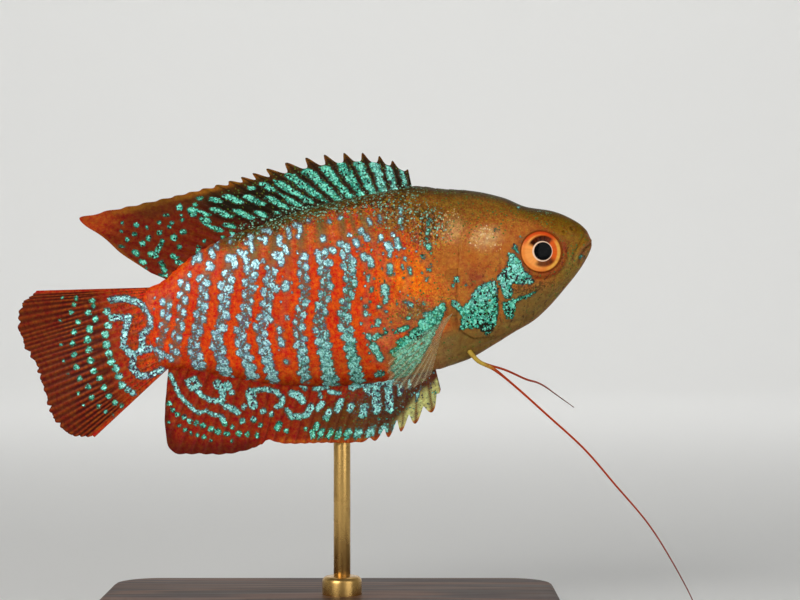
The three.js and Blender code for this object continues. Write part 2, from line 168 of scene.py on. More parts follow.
HALF_WIDTH = [
    (34.5, 0.35), (34.2, 0.95), (33, 1.75), (31, 2.6), (28, 3.5), (24, 4.25), (20, 4.7), (14, 4.85),
    (6, 4.6), (0, 4.1), (-6, 3.4), (-12, 2.6), (-18, 1.85), (-22.4, 1.3), (-24, 0.7), (-24.4, 0.35),
]
WIDEST_AT = 0.52
BACK_FULLNESS = 0.95
BELLY_FULLNESS = 1.08


def in_frame(points):
    """Points of the fish's own frame, in millimetres, as places in the model's frame, in metres."""
    x, y, z = np.moveaxis(np.asarray(points, float), -1, 0)
    along = x * math.cos(PITCH) - z * math.sin(PITCH)
    up = x * math.sin(PITCH) + z * math.cos(PITCH) + FISH_HEIGHT
    return np.stack([along, y, up], -1) * MM


def smooth_through(points):
    """A smooth function through the points, with no overshoot between them."""
    at, value = np.array(sorted(points), float).T
    chord = np.diff(value) / np.diff(at)
    slope = np.concatenate([chord[:1], np.zeros(len(at) - 2), chord[-1:]])
    before, after = chord[:-1], chord[1:]
    bends = before * after > 0
    slope[1:-1][bends] = (2 * before * after / (before + after + (~bends)))[bends]

    def curve(x):
        x = np.clip(x, at[0], at[-1])
        i = np.clip(np.searchsorted(at, x, side="right") - 1, 0, len(at) - 2)
        span = at[i + 1] - at[i]
        t = (x - at[i]) / span
        rise = value[i + 1] - value[i]
        start, end = slope[i] * span - rise, rise - slope[i + 1] * span
        return value[i] + rise * t + t * (1 - t) * (start * (1 - t) + end * t)

    return curve


back, belly, half_width = smooth_through(BACK), smooth_through(BELLY), smooth_through(HALF_WIDTH)


def flank(x, turn, side, inset=COAT_DEPTH):
    """A point on the body's side: turn runs from -1 at the keel to 1 on the ridge of the back."""
    top, bottom = back(x) - inset, belly(x) + inset
    middle = bottom + (top - bottom) * WIDEST_AT
    up, out = np.sin(turn * math.pi / 2), np.cos(turn * math.pi / 2).clip(0)
    height = np.where(up > 0, top - middle, middle - bottom)
    fullness = np.where(up > 0, BACK_FULLNESS, BELLY_FULLNESS)
    wide = np.maximum(half_width(x) - inset, THINNEST) * out**fullness
    return np.stack(np.broadcast_arrays(x, side * wide, middle + height * up), -1)


def smooth(low, high, value):
    """0 at low and below, 1 at high and beyond, and an even rise between. Low may be the greater."""
    t = np.clip((value - low) / (high - low), 0, 1)
    return t * t * (3 - 2 * t)


def line_distance(x, z, points):
    """How far each place is from a line of points."""
    best = np.full(np.shape(x), 99.0)
    for (ax, az), (bx, bz) in zip(points[:-1], points[1:]):
        run, rise = bx - ax, bz - az
        t = np.clip(((x - ax) * run + (z - az) * rise) / (run * run + rise * rise), 0, 1)
        best = np.minimum(best, np.hypot(x - ax - t * run, z - az - t * rise))
    return best


def patch_depth(x, z, corners):
    """How deep each place is inside the patch with these corners, and below 0 outside it."""
    loop = corners + corners[:1]
    inside = np.zeros(np.shape(x), bool)
    for (ax, az), (bx, bz) in zip(loop[:-1], loop[1:]):
        if az != bz:
            inside ^= ((az > z) != (bz > z)) & (x < ax + (z - az) * (bx - ax) / (bz - az))
    away = line_distance(x, z, loop)
    return np.where(inside, away, -away)


DOT_LENGTH = 0.01


def marks_depth(x, z, marks):
    """How deep each place is inside a list of marks, each half a width, then x and z of its points."""
    depth = np.full(np.shape(x), -1.0)
    for half, *numbers in marks:
        line = list(zip(numbers[::2], numbers[1::2]))
        if len(line) == 1:
            line.append((line[0][0] + DOT_LENGTH, line[0][1]))
        depth = np.maximum(depth, half - line_distance(x, z, line))
    return depth


def oval(x, z, at, size):
    """1 at the middle of an oval, fading to 0 at its edge."""
    return smooth(1, 0, np.hypot((x - at[0]) / size[0], (z - at[1]) / size[1]))


# The head's own relief, in millimetres. The gill cover's free edge stands over the shoulder, a groove
# parts it from the cheek, and the lips, nostrils, pores and the rim of the eye are raised or sunk.
EYE_AT = (27.72, -0.85)
EYE_RADIUS = 2.72
GILL_EDGE = [
    (19.6, 5), (18.1, 3.4), (16.9, -0.2), (16.05, -3.8), (15.1, -8.3), (16.8, -9.9), (20.3, -10.3),
    (23.5, -9.5),
]
GILL_REGION = GILL_EDGE + [(26, -4), (24, 4)]
GILL_RISE, GILL_SPREAD = 0.30, 2.6
SHOULDER_SINK, SHOULDER_SPREAD = 0.16, 0.55
CHEEK_GROOVE = [
    (22.6, 0.6), (22.2, -2.2), (21.5, -4.4), (21.1, -6.4), (20.7, -7.7), (21.4, -9), (24, -8.9),
]
CHEEK_LOWER_GROOVE = [(22, -6.2), (24.5, -6.3), (27.2, -5.6)]
CHIN_FOLD = [(30.3, -5.2), (27.5, -7.2), (24.2, -8.9)]
THROAT_FOLD = [(20.5, -10.9), (17.5, -11.3), (14.5, -11.9)]
MOUTH_CLEFT = [(35, -1), (34.2, -1.25), (33.3, -1.75), (32.6, -2.55), (32.2, -3.4)]
UPPER_LIP_TOP = [(34.6, 1), (33.9, 0.1), (33, -0.9), (32.1, -1.9), (31.5, -2.9)]
LOWER_LIP_END = [(34.4, -2.2), (33.4, -2.75), (32.8, -3.5)]
# Each ridge or groove: its line, how far from the line it is, its width, and its height or depth.
HEAD_RIDGES = [
    (CHEEK_GROOVE, 0, 0.22, -0.17),
    (CHEEK_LOWER_GROOVE, 0, 0.2, -0.07),
    (CHIN_FOLD, 0, 0.2, -0.1),
    (THROAT_FOLD, 0, 0.2, -0.1),
    (MOUTH_CLEFT, 0, 0.13, -0.28),
    (MOUTH_CLEFT, 0.42, 0.3, 0.14),
    (UPPER_LIP_TOP, 0, 0.16, -0.14),
    (LOWER_LIP_END, 0, 0.16, -0.12),
]
# Nostrils and pores: x, z and the size of the pit, then of the ring round it: radius, width and height.
PITS = [
    (31.1, 1.05, 0.165, 0.3, 0.3, 0.13, 0.14), (32.3, 1.2, 0.198, 0.3, 0.36, 0.13, 0.14),
]
PORES = [(27.7, 2.9), (29.6, 2.75), (25.6, 2.6), (31, -1.5), (30.2, -3.6), (28.2, -4.9), (26, -5.2)]
PITS += [(x, z, 0.14, 0.12, 0.24, 0.1, 0.06) for x, z in PORES]
BROW_WIDTH, BROW_HEIGHT = 0.7, 0.26
LID_RING, LID_WIDTH, LID_HEIGHT = 3.15, 0.26, 0.1
LID_GROOVE, LID_GROOVE_WIDTH, LID_GROOVE_DEPTH = 3.62, 0.14, 0.08
SOCKET_EDGE = (EYE_RADIUS + 0.02, EYE_RADIUS - 0.2)
SOCKET_DEPTH = 1.3


def ridge(away, at, width, height):
    """A rounded ridge this far from a line or point, or a groove where its height is below 0."""
    return height * np.exp(-(((away - at) / width) ** 2))


def head_relief(x, z):
    """How far the head's skin stands out from the plain form at each place."""
    edge = line_distance(x, z, GILL_EDGE)
    covered = patch_depth(x, z, GILL_REGION) > 0
    shoulder = -SHOULDER_SINK * np.exp(-edge / SHOULDER_SPREAD)
    rise = np.where(covered, GILL_RISE * np.exp(-edge / GILL_SPREAD), shoulder)
    for line, at, width, height in HEAD_RIDGES:
        rise += ridge(line_distance(x, z, line), at, width, height)
    for at_x, at_z, wide, deep, ring_at, ring_wide, ring_high in PITS:
        away = np.hypot(x - at_x, z - at_z)
        rise += ridge(away, ring_at, ring_wide, ring_high) - ridge(away, 0, wide, deep)
    from_eye = np.hypot(x - EYE_AT[0], z - EYE_AT[1])
    above_eye = (z - EYE_AT[1]) / (from_eye + 0.1)
    rise += above_eye**2 * ridge(from_eye, EYE_RADIUS, BROW_WIDTH, BROW_HEIGHT)
    lid = ridge(from_eye, LID_RING, LID_WIDTH, LID_HEIGHT)
    lid -= ridge(from_eye, LID_GROOVE, LID_GROOVE_WIDTH, LID_GROOVE_DEPTH)
    return rise + smooth(0.2, -0.8, above_eye) * lid - SOCKET_DEPTH * smooth(*SOCKET_EDGE, from_eye)


# The body's blue bands, from tail to head: x at the mid line, lowest and highest z, and strength.
# Each leans forward above the mid line and back below it, and is a double column of bright patches.
BANDS = [
    (-26.9, 0, 1, 0), (-24.4, -1.6, 4, 0.3), (-21.7, -3.9, 3.3, 0.9), (-19.75, -4.6, 5.4, 0.9),
    (-17.05, -6.6, 5.4, 1), (-13.95, -8.4, 5.6, 1), (-10.75, -9.2, 5.6, 1), (-8.1, -10.2, 4.4, 1),
    (-5.6, -6.4, 3.6, 0.22), (-3.1, -10.9, 5.2, 0.95), (-0.4, -12.4, 5, 1), (2.95, -12.6, 5.5, 1),
    (5.5, -10.2, 5.8, 0.3), (8, -7.2, 6, 0.28), (10.5, -3.9, 4.4, 0.24), (13.1, -1.4, 4.6, 0.2),
    (15.8, 0, 1, 0), (18.5, 0, 1, 0), (21.2, 0, 1, 0), (23.9, 0, 1, 0),
]
BAND_X, BAND_LOW, BAND_HIGH, BAND_STRENGTH = np.array(BANDS).T
BAND_GAP = smooth_through(list(zip((BAND_X[1:] + BAND_X[:-1]) / 2, np.diff(BAND_X))))
LEAN_ABOVE = smooth_through([(-30, 0.33), (-7, 0.33), (-3, 0.12), (2, 0.1), (8, -0.25), (14, -0.1), (30, 0)])
LEAN_LOW = smooth_through(
    [(-30, 0.06), (-8, 0.06), (-3.1, -0.1), (-0.4, -0.04), (3, 0.01), (8, 0.06), (30, 0.06)]
)
LEAN_LOW_FROM = -3.5
BAND_FADE = 0.9
BAND_FULL_ABOVE_LOW = 0.3
BAND_FULL_BELOW_HIGH = 0.4


def band_shift(mid_x, z):
    """How far forward of its place at the mid line a band lies at height z."""
    below = 0.5 * np.maximum(z, LEAN_LOW_FROM) + LEAN_LOW(mid_x) * np.maximum(LEAN_LOW_FROM - z, 0)
    return np.where(z > 0, LEAN_ABOVE(mid_x) * z, below)


def band_number(x, z):
    """The place along the row of bands: whole numbers are the bands' middles.

    The lean is known at the mid line, so where that line is met is found in two steps."""
    mid_x = x - band_shift(x, z)
    mid_x = x - band_shift(mid_x, z)
    return np.interp(mid_x, BAND_X, np.arange(len(BANDS)))


def band_strength(number, z):
    """How strong the band nearest to this number is at height z."""
    nearest = np.clip(np.rint(number), 0, len(BANDS) - 1).astype(int)
    low, high = BAND_LOW[nearest], BAND_HIGH[nearest]
    above_low = smooth(low - BAND_FADE, low + BAND_FULL_ABOVE_LOW, z)
    return BAND_STRENGTH[nearest] * above_low * smooth(high + BAND_FADE, high - BAND_FULL_BELOW_HIGH, z)


# The blue that isn't in bands: fields on head and breast by their corners, spots by x, z and radius, and
# marks by half their width and x and z of each point of their line. Dark fields, by their corners and
# strength, are where dark flecks crowd the blue.
BLUE_FIELDS = [
    [(24.45, 0.85), (24.8, 0.2), (24.75, -0.5), (24.3, -0.2), (24.1, 0.3)],
    [(23.4, 0), (24.2, -0.3), (24.9, -1.6), (25, -2.6), (25.6, -3.5), (26.2, -4.3), (25.7, -4.75),
     (24.9, -4.5), (24.2, -4.6), (23.4, -4.1), (22.9, -4.4), (23.2, -5.2), (22.6, -5.8), (21.9, -5.9),
     (21.5, -4.2), (21.3, -2.9), (22, -2.4), (22.8, -1.8), (23.2, -1)],
    [(21.4, -6.1), (23.1, -6), (24.9, -5.85), (26.2, -5.7), (26.1, -5.95), (24.8, -6.3), (23.4, -6.4),
     (22.9, -7.2), (22.6, -8.1), (22, -8.6), (21.5, -8.2), (21.35, -7.2)],
    [(19, -3.4), (20, -3.15), (21.25, -3.2), (21.1, -4.6), (20.9, -6.4), (20.6, -7.5), (20.25, -8.5),
     (19.3, -9.4), (18.7, -9.9), (17.9, -8.9), (16.8, -8.5), (15.25, -8.5), (15.7, -7.1), (15.9, -6.1),
     (15.2, -5), (15.6, -5.05), (16.2, -5.8), (17.1, -5.2), (17.75, -4.25)],
    [(14.1, -4.4), (13.3, -4.8), (12.4, -5.2), (11.1, -5.4), (11.2, -6), (10.3, -6.2), (10.2, -6.9),
     (9, -7.2), (8.8, -7.8), (7, -8), (7.1, -8.8), (5.8, -9.4), (6.4, -10.5), (5.5, -11.4),
     (5.9, -12.4), (5, -13.6), (7.4, -13.4), (8.6, -12.4), (9.9, -11.2), (11.6, -9), (13.6, -6.6),
     (14.3, -5.4)],
    [(6.6, -6.7), (8.6, -6.5), (9.2, -7), (7.6, -7.3)],
    [(4.4, -6.9), (5.6, -6.9), (5.4, -7.4), (4.6, -7.3)],
]
BLUE_SPOTS = [
    (16.3, -2.1, 0.42), (15.6, -2.8, 0.3), (17.25, -3, 0.16), (13.1, -0.1, 0.34), (12.6, -1.2, 0.3),
    (12.6, 1.6, 0.3), (13.6, 2.9, 0.4), (25.5, 1.5, 0.16), (25.45, 1, 0.14), (32.6, -2.6, 0.17),
    (32.85, -2.5, 0.14), (4.2, -11.9, 0.5), (3.7, -12, 0.4), (10.4, 1.9, 0.36), (10.6, 0.6, 0.22),
    (26.1, 5.3, 0.14), (22.4, 3.1, 0.13), (22.8, 3, 0.12),
]
LONE_MARKS = [
    (0.25, -16.25, 7.7), (0.27, -15.6, 8.1, -15.7, 7.3), (0.2, -15.4, 8.9), (0.2, -16.6, 7.1),
    (0.15, -14.5, 9.7, -14.2, 9.7), (0.24, -14, 8.3, -13.85, 7.3), (0.18, -13.3, 8.7, -13.1, 8.3),
    (0.16, -12.95, 9.2), (0.26, -12, 9.6), (0.36, -11, 9.75), (0.18, -11.3, 8.7), (0.18, -10.3, 10.4),
    (0.3, -14.55, 6.5, -14.3, 6), (0.27, -12, 6.9, -12.05, 6.5), (0.32, -11.3, 6.7, -11.25, 5.6),
    (0.25, -10.4, 7.3, -9.9, 6.5, -9.7, 5.7), (0.24, -9.6, 6.9), (0.2, -9.3, 8.1),
    (0.22, -8.7, 8.3, -8.7, 7.1), (0.22, -8.7, 8.9, -8.4, 8.8), (0.17, -7.5, 8.4, -7.2, 8.2),
    (0.25, -6.75, 8.3, -6.8, 7.7), (0.2, -6.8, 9.3), (0.2, -6.2, 9.3, -6, 8.8), (0.2, -7.6, 5.4),
    (0.3, -4.9, 7.9, -5.05, 7.2), (0.26, -4.5, 6.6, -4.3, 5.8), (0.33, -5.95, 5.9, -5.6, 5.4),
    (0.3, -5.15, 5.8, -5.25, 4.9), (0.26, -5.4, 4.5), (0.2, -3.6, 8.8, -3.6, 7.7), (0.24, -2.6, 9.1),
    (0.2, -2.05, 9, -2.1, 8.1), (0.26, -2.5, 7.6), (0.22, -0.8, 9.3), (0.3, 0.6, 6.7, 0.65, 6.5),
    (0.3, -0.45, 5, -0.4, 4.8), (0.28, 1.25, 5.1, 1.6, 4.7), (0.34, 2.6, 5.5, 2.8, 5.3), (0.2, 4, 6.3),
    (0.3, 4.6, 5.4, 4.7, 4.9), (0.34, 5.6, 6.6, 5.65, 6.4), (0.28, 6.1, 5.7, 6.15, 5.4),
    (0.18, 6.8, 7.8, 6.9, 7.2), (0.2, 7.9, 5.3, 7.9, 4.9), (0.24, 9.5, 5.2), (0.38, 8.5, 4.1, 8.7, 3.5),
    (0.28, 9.8, 4.4, 9.9, 3.5), (0.26, 13.6, 2.9, 13.7, 2.6), (0.2, 1.8, 8.6), (0.22, 3.3, 8.8),
    (0.1, 11.2, 8.4, 11, 7.6), (0.14, 10.9, 7, 10.7, 6.4), (0.12, 10.8, 5.8), (0.08, 14.9, 6.9),
    (0.12, 14.5, 6.2, 14.2, 5.6), (0.16, 14.1, 4.9, 13.8, 4.4), (0.12, 13.6, 3.8),
    (0.1, 8.3, 8, 8.2, 7.2), (0.3, 5.9, 2.9, 6, 2), (0.16, 5.3, 0.6, 5.2, 0.2), (0.2, 4.15, -3.1),
    (0.22, 3.95, -3.9, 4, -4.1), (0.26, 3.7, -6.8, 3.8, -7.1), (0.42, 4, -8.2, 4.3, -9),
    (0.34, 4.5, -9.5, 4.6, -10), (0.22, 8.5, 2.7), (0.3, 8.3, 1.4, 8.1, 0.5),
    (0.42, 7.05, -1.2, 6.95, -1.8), (0.22, 6.95, -2.5, 6.8, -3), (0.2, 5.85, -3.5),
    (0.27, 5.3, -5.2, 5.2, -5.6), (0.3, 4.8, -7, 4.5, -7.2), (0.14, 6, -6.9), (0.14, 9.2, -3.5),
    (0.18, 9.7, -3.9, 9.9, -4.1), (0.2, 8.8, -6.8), (0.12, 11.5, -4.3), (0.14, 10.7, 0.4, 10.6, -0.2),
    (0.34, 3.8, 3, 3.7, 2.5), (0.3, 5.2, 3.4, 5.2, 3), (0.42, -5.3, 1.9, -5.5, 1.4),
    (0.3, -6.7, 1.8, -6.7, 1.4), (0.12, -6, -2.2, -6.05, -2.5), (0.26, -7.35, -3.6, -7.3, -3.9),
    (0.28, -7.5, -4.9, -7.45, -5.6), (0.26, -7.35, -7.9), (0.28, -8.3, -1.9, -8.2, -2.2),
    (0.3, 15.3, -5, 15.9, -5.7, 16.4, -6.6),
]
LONE_MARK_GAIN = 1.5
LONE_MARK_SPREAD = 0.13
BAND_HALF_WIDTH = 0.7
BAND_FILL = 0.06
LOW_BAND_FILL = 0.24
BAND_GAP_DEPTH = 1.2
TAIL_MARKS = [
    (0.38, -28.1, 4.7, -26.1, 4.4, -24.3, 3.3, -23.5, 1.5, -23.8, 0.1, -25.1, -0.7, -25.5, -2.6),
    (0.37, -28.6, 2.4, -26.3, 1.9, -27.3, 0.1, -27.8, -1.5, -26.9, -3, -25.5, -2.6, -24.1, -2.6,
     -22.3, -4.1),
    (0.36, -26.8, -3.2, -27.2, -4.6, -26.5, -5.8, -25.1, -6, -23.5, -5.5),
]
DARK_FIELDS = [
    ([(22.9, -4.3), (24.6, -4.6), (27, -4.6), (28.6, -5), (27.2, -5.6), (25, -5.75), (23.4, -5.8)], 0.6),
    ([(17.8, -8.3), (19.3, -8.2), (19.6, -9.2), (18.8, -9.9), (18, -9.2)], 0.75),
    ([(21.5, -6.4), (22.1, -6.6), (22.4, -7.6), (21.9, -8.2), (21.55, -7.6)], 0.5),
    ([(9.2, -7.8), (10.3, -7.6), (10.6, -8.2), (9.8, -8.7), (9.2, -8.5)], 0.55),
    ([(22.3, -3.3), (22.6, -3.4), (22.4, -4.8), (22, -4.6)], 0.4),
]


def blue_depth(x, z):
    """How deep each place is inside the blue: of the fields, spots, marks and bands."""
    depth = np.full(np.shape(x), -1.0)
    for corners in BLUE_FIELDS:
        depth = np.maximum(depth, patch_depth(x, z, corners))
    for at_x, at_z, radius in BLUE_SPOTS:
        depth = np.maximum(depth, radius - np.hypot(x - at_x, z - at_z))
    depth = np.maximum(depth, (marks_depth(x, z, LONE_MARKS) + LONE_MARK_SPREAD) * LONE_MARK_GAIN)
    depth = np.maximum(depth, marks_depth(x, z, TAIL_MARKS))
    number = band_number(x, z)
    from_seam = np.abs(number - np.rint(number)) * BAND_GAP(x)
    fill = BAND_FILL + LOW_BAND_FILL * smooth(-4, -8, z)
    fill = np.minimum(fill, BAND_HALF_WIDTH - from_seam) - BAND_GAP_DEPTH * (1 - band_strength(number, z))
    return np.maximum(depth, fill)


def tint(red, green, blue):
    """A colour from screen values, 0 to 255, as the linear values that a shader takes."""
    screen = np.array([red, green, blue]) / 255
    return np.where(screen > 0.04045, ((screen + 0.055) / 1.055) ** 2.4, screen / 12.92)


RED = tint(216, 64, 14)
LOW_RED = tint(192, 70, 20)
KEEL_RED = tint(150, 42, 8)
FLANK_ORANGE = tint(226, 98, 22)
YELLOW = tint(244, 124, 18)
SHOULDER = tint(178, 104, 42)
NAPE = tint(134, 90, 32)
RIDGE = tint(70, 54, 10)
BACK_BROWN = tint(84, 66, 22)
UPPER_BROWN = tint(128, 92, 46)
# A painted highlight, pale gold, laid on the gill cover and the shoulder.
PAINTED_HIGHLIGHT_GOLD = tint(230, 200, 142)
RED_CHEEK = tint(150, 74, 42)
SNOUT = tint(136, 92, 20)
SNOUT_LOW = tint(136, 108, 48)
FOREHEAD = tint(108, 76, 12)
THROAT = tint(126, 98, 48)
BREAST_OLIVE = tint(132, 112, 66)
SALMON = tint(196, 118, 74)
STREAK_RED = tint(214, 66, 22)
UNDER_EYE = tint(140, 64, 20)
LIP = tint(150, 96, 66)
SEAM = tint(134, 108, 88)
RIM_ORANGE = tint(150, 84, 34)

# Where each paint lies, in the order it is laid: the tint, its strength, and its limits. A limit gives
# what is measured, where the paint starts and where it is full, or the middle and half size of an oval,
# or the name of a pattern.
GROUND_COATS = [
    (FLANK_ORANGE, 0.7, ("x", 3, 8), ("z", -10, -4), ("z", 6, 1)),
    (FLANK_ORANGE, 0.45, ("z", 4, 7.5), ("x", -16, -10)),
    (LOW_RED, 1, ("z", -6.5, -10), ("x", 8, 0)),
    (YELLOW, 0.85, ((11.2, -1), (6.3, 4.4))),
    (SHOULDER, 1, ("shoulder", 10.5, 15)),
    (THROAT, 1, ("x", 11.5, 15), ("z", -7.2, -9.4)),
    (BREAST_OLIVE, 0.85, ("x", 3.8, 6.6), ("x", 15.5, 13.5), ("z", -7.4, -10)),
    (BREAST_OLIVE, 0.8, ((10, -5.2), (5.6, 3.4))),
    (SALMON, 0.75, ((5.8, -7.4), (2.8, 2))),
    (STREAK_RED, 0.6, "fore streaks", ((8, -2), (3.8, 4.6))),
    (SHOULDER, 0.7, ((15.6, -5.5), (2.4, 3.6))),
    (THROAT, 0.6, ((15.2, -6.6), (2, 2.4))),
    (NAPE, 1, ("x", 4.5, 11), ("nape", 3.4, 7.5)),
    (UPPER_BROWN, 1, "upper streaks", ("depth", 8.4, 3.3), ("x", 13, 6), ("x", -17, -9)),
    (BACK_BROWN, 0.95, ("depth", 2.2, 0.7), ("x", 13, 6), ("x", -16, -11)),
    (RED_CHEEK, 0.9, ((18.7, -2.3), (2.6, 2.2))),
    (SNOUT, 1, ("x", 27, 30.5)),
    (SNOUT_LOW, 1, ("x", 28.5, 31), ("z", -1, -3)),
    (THROAT, 1, ("x", 20, 24), ("z", -3.6, -6.4)),
    (FOREHEAD, 1, ("x", 21, 27), ("depth", 3.2, 0.6)),
    (RIDGE, 1, ("ridge", 0, 1), ("x", 9, 13), ("x", 35, 28)),
    # Painted highlight: a broken pale gold patch over the gill cover, and a fainter one on the shoulder.
    (PAINTED_HIGHLIGHT_GOLD, 0.75, "broken", ((21, 2.3), (3.1, 2.2))),
    (PAINTED_HIGHLIGHT_GOLD, 0.35, ((17.2, 4.2), (2.4, 2.4))),
    (RIM_ORANGE, 0.5, ("above keel", 0.6, 0.1), ("x", 16, 20)),
    (UNDER_EYE, 0.9, ("from eye", 3.75, 3.3), ("z", 1.5, -0.8)),
    (RIM_ORANGE, 0.55, ("from eye", 3.3, 2.9)),
    (LIP, 0.5, ("from cleft", 0.75, 0.3), ("x", 31.8, 33)),
    (LIP, 0.8, ((34.5, 0), (0.9, 1.4))),
    (KEEL_RED, 0.85, ("above keel", 2.2, 0.3), ("x", 7, 3)),
    (SEAM, 0.8, "seam"),
    (SEAM, 0.5, ("marks", -0.5, 0), ("x", 16, 13)),
]
# How thickly small green flecks lie, and painted glints of highlight in pale gold, how deep a
# turquoise the blue is, and how thickly dark flecks lie in it: each a sum of fields, of a strength and its
# limits.
FLECK_FIELDS = [
    (0.85, ("depth", 3.4, 0.5), ("x", 13.5, 9), ("x", -15, -9)),
    (0.22, ("depth", 8, 3), ("x", -13, -8), ("x", 13, 9)),
    (0.2, ("x", 3, 6), ("x", 16, 13)),
    (0.4, ("z", 0, 5), ("x", 9, 13), ("x", 34, 28)),
    (0.5, ((14.6, 5), (3.8, 4.6))),
    (0.35, ((10, 7.2), (4.5, 3.2))),
    (0.2, ("x", 27, 29)),
    (0.14, ("x", 14, 18), ("z", 1, -1)),
    (0.5, ((10.2, -4.6), (4.4, 3.2))),
    (0.3, ((15, -4), (2.6, 4.5))),
]
# The painted glints of highlight lie thickest on the gill cover, then on the shoulder.
GLINT_FIELDS = [
    (1, "gill glints"),
    (0.45, ((15.7, 4.6), (2.6, 3.2))),
    (0.35, ((17.6, 6.2), (2.4, 1.8))),
    (0.3, ((20.5, 1.6), (3.2, 2.6))),
]
GILL_GLINTS = [
    (1, (21, 2.85), (1.7, 1.4)), (0.85, (19.4, 2.3), (1.2, 1.1)), (0.85, (22.3, 1.1), (1.3, 1.2)),
]
MOST_GLINTS = 0.72
TEAL_FIELDS = [
    (0.45, ("x", -12, 7), "pale above"),
    (0.32, ("x", 10.5, 14), "pale above"),
    (0.2, ("z", -5, -9)),
    (0.45, ("z", -4.6, -7), ("x", 3.5, 7)),
    (0.26, "clouds", ("x", 6, 10)),
]
HEAD_DARK_FIELDS = [
    (0.12, ("x", 14.5, 15.5)),
    (0.34, "folds", ("x", 16.5, 18), ("z", 0.5, -1.5)),
]


def measured(x, z):
    """What the paint's limits measure at each place, and its patterns."""
    depth = back(x) - z
    ridge_edge = 2.3 - 0.9 * smooth(18, 25, x)
    number = band_number(x, z)
    from_middle = np.abs(number - np.rint(number))
    gill_glints = [strength * oval(x, z, at, size) for strength, at, size in GILL_GLINTS]
    return {
        "x": x,
        "z": z,
        "depth": depth,
        "above keel": z - belly(x),
        "from eye": np.hypot(x - EYE_AT[0] + 0.1, z - EYE_AT[1]),
        "from cleft": line_distance(x, z, MOUTH_CLEFT),
        "shoulder": x + 0.25 * z.clip(-3),
        "nape": z + 0.12 * (x - 14).clip(0),
        "ridge": (depth - ridge_edge) / (0.2 - ridge_edge),
        "marks": marks_depth(x, z, LONE_MARKS),
        "seam": smooth(0.27, 0.1, from_middle) * band_strength(number, z),
        "upper streaks": 0.62 + 0.38 * np.cos(2 * math.pi * number),
        "fore streaks": smooth(0.1, 0.9, np.sin(3.3 * x + 0.5 * z)),
        "broken": 0.72 + 0.28 * np.sin(4.6 * x + 1.4 * z) * np.sin(5.2 * z - 1.1 * x),
        "clouds": np.sin(3.7 * x - 2 * z) * np.sin(1.9 * x + 2.9 * z),
        "folds": smooth(0.7, 1, np.sin(4.2 * x - 2.6 * z + 0.9 * np.sin(2.3 * z))),
        "pale above": 1 - 0.75 * smooth(-1, 5, z) * smooth(13, 9, x),
        "gill glints": np.max(gill_glints, axis=0),
    }


def field(limits, seen):
    """How far each place is within all of these limits, from 0 to 1."""
    amount = 1
    for limit in limits:
        if isinstance(limit, str):
            amount = amount * seen[limit]
        elif isinstance(limit[0], str):
            name, start, full = limit
            amount = amount * smooth(start, full, seen[name])
        else:
            amount = amount * oval(seen["x"], seen["z"], *limit)
    return amount


def field_sum(fields, seen, most=1):
    """The sum of fields at each place, kept between 0 and the most it may be."""
    return np.clip(sum(strength * field(limits, seen) for strength, *limits in fields), 0, most)


def lay_coats(first_colour, coats, seen):
    """The colour at each place after all coats of paint over the first colour."""
    colour = np.broadcast_to(first_colour, np.shape(seen["x"]) + (3,))
    for paint_tint, strength, *limits in coats:
        amount = np.clip(strength * field(limits, seen), 0, 1)
        colour = colour + (paint_tint - colour) * amount[..., None]
    return colour


def turned_out(points, faces):
    """The faces of a closed form, all turned over if they face inwards."""
    fans = np.array([(f[0], f[k], f[k + 1]) for f in faces for k in range(1, len(f) - 1)])
    first, second, third = (points[fans[:, i]] for i in range(3))
    volume = np.einsum("ij,ij->i", first, np.cross(second, third)).sum()
    return [f[::-1] for f in faces] if volume < 0 else faces


def mesh_piece(name, points, faces):
    """A smooth mesh object from points in the fish's frame."""
    mesh = bpy.data.meshes.new(name)
    mesh.from_pydata(in_frame(points).tolist(), [], faces)
    mesh.shade_smooth()
    piece = bpy.data.objects.new(name, mesh)
    bpy.context.scene.collection.objects.link(piece)
    return piece


def paint(piece, name, values):
    """Stores one number, or one colour or vector of three, for each of a piece's points."""
    values = np.asarray(values, np.float32)
    if values.ndim == 1:
        piece.data.attributes.new(name, "FLOAT", "POINT").data.foreach_set("value", values)
    else:
        piece.data.attributes.new(name, "FLOAT_VECTOR", "POINT").data.foreach_set("vector", values.ravel())


def paint_body(piece, x, z, shade=1):
    """Stores the body's markings on a piece of skin or scales, from its points' x and z."""
    seen = measured(x, z)
    dark = field_sum(HEAD_DARK_FIELDS, seen)
    for corners, strength in DARK_FIELDS:
        dark = np.maximum(dark, strength * smooth(-0.35, 0.25, patch_depth(x, z, corners)))
    paint(piece, "ground", lay_coats(RED, GROUND_COATS, seen) * shade)
    paint(piece, "blue", blue_depth(x, z))
    paint(piece, "dark", dark)
    paint(piece, "fleck", field_sum(FLECK_FIELDS, seen))
    paint(piece, "teal", field_sum(TEAL_FIELDS, seen))
    # How thickly the painted glints of highlight lie.
    paint(piece, "glint", field_sum(GLINT_FIELDS, seen, MOST_GLINTS))


def lay_out(piece, name, corner_places):
    """Stores a flat map, given for each corner of each face in turn."""
    layer = piece.data.uv_layers.new(name=name)
    layer.data.foreach_set("uv", np.asarray(corner_places, np.float32).ravel())


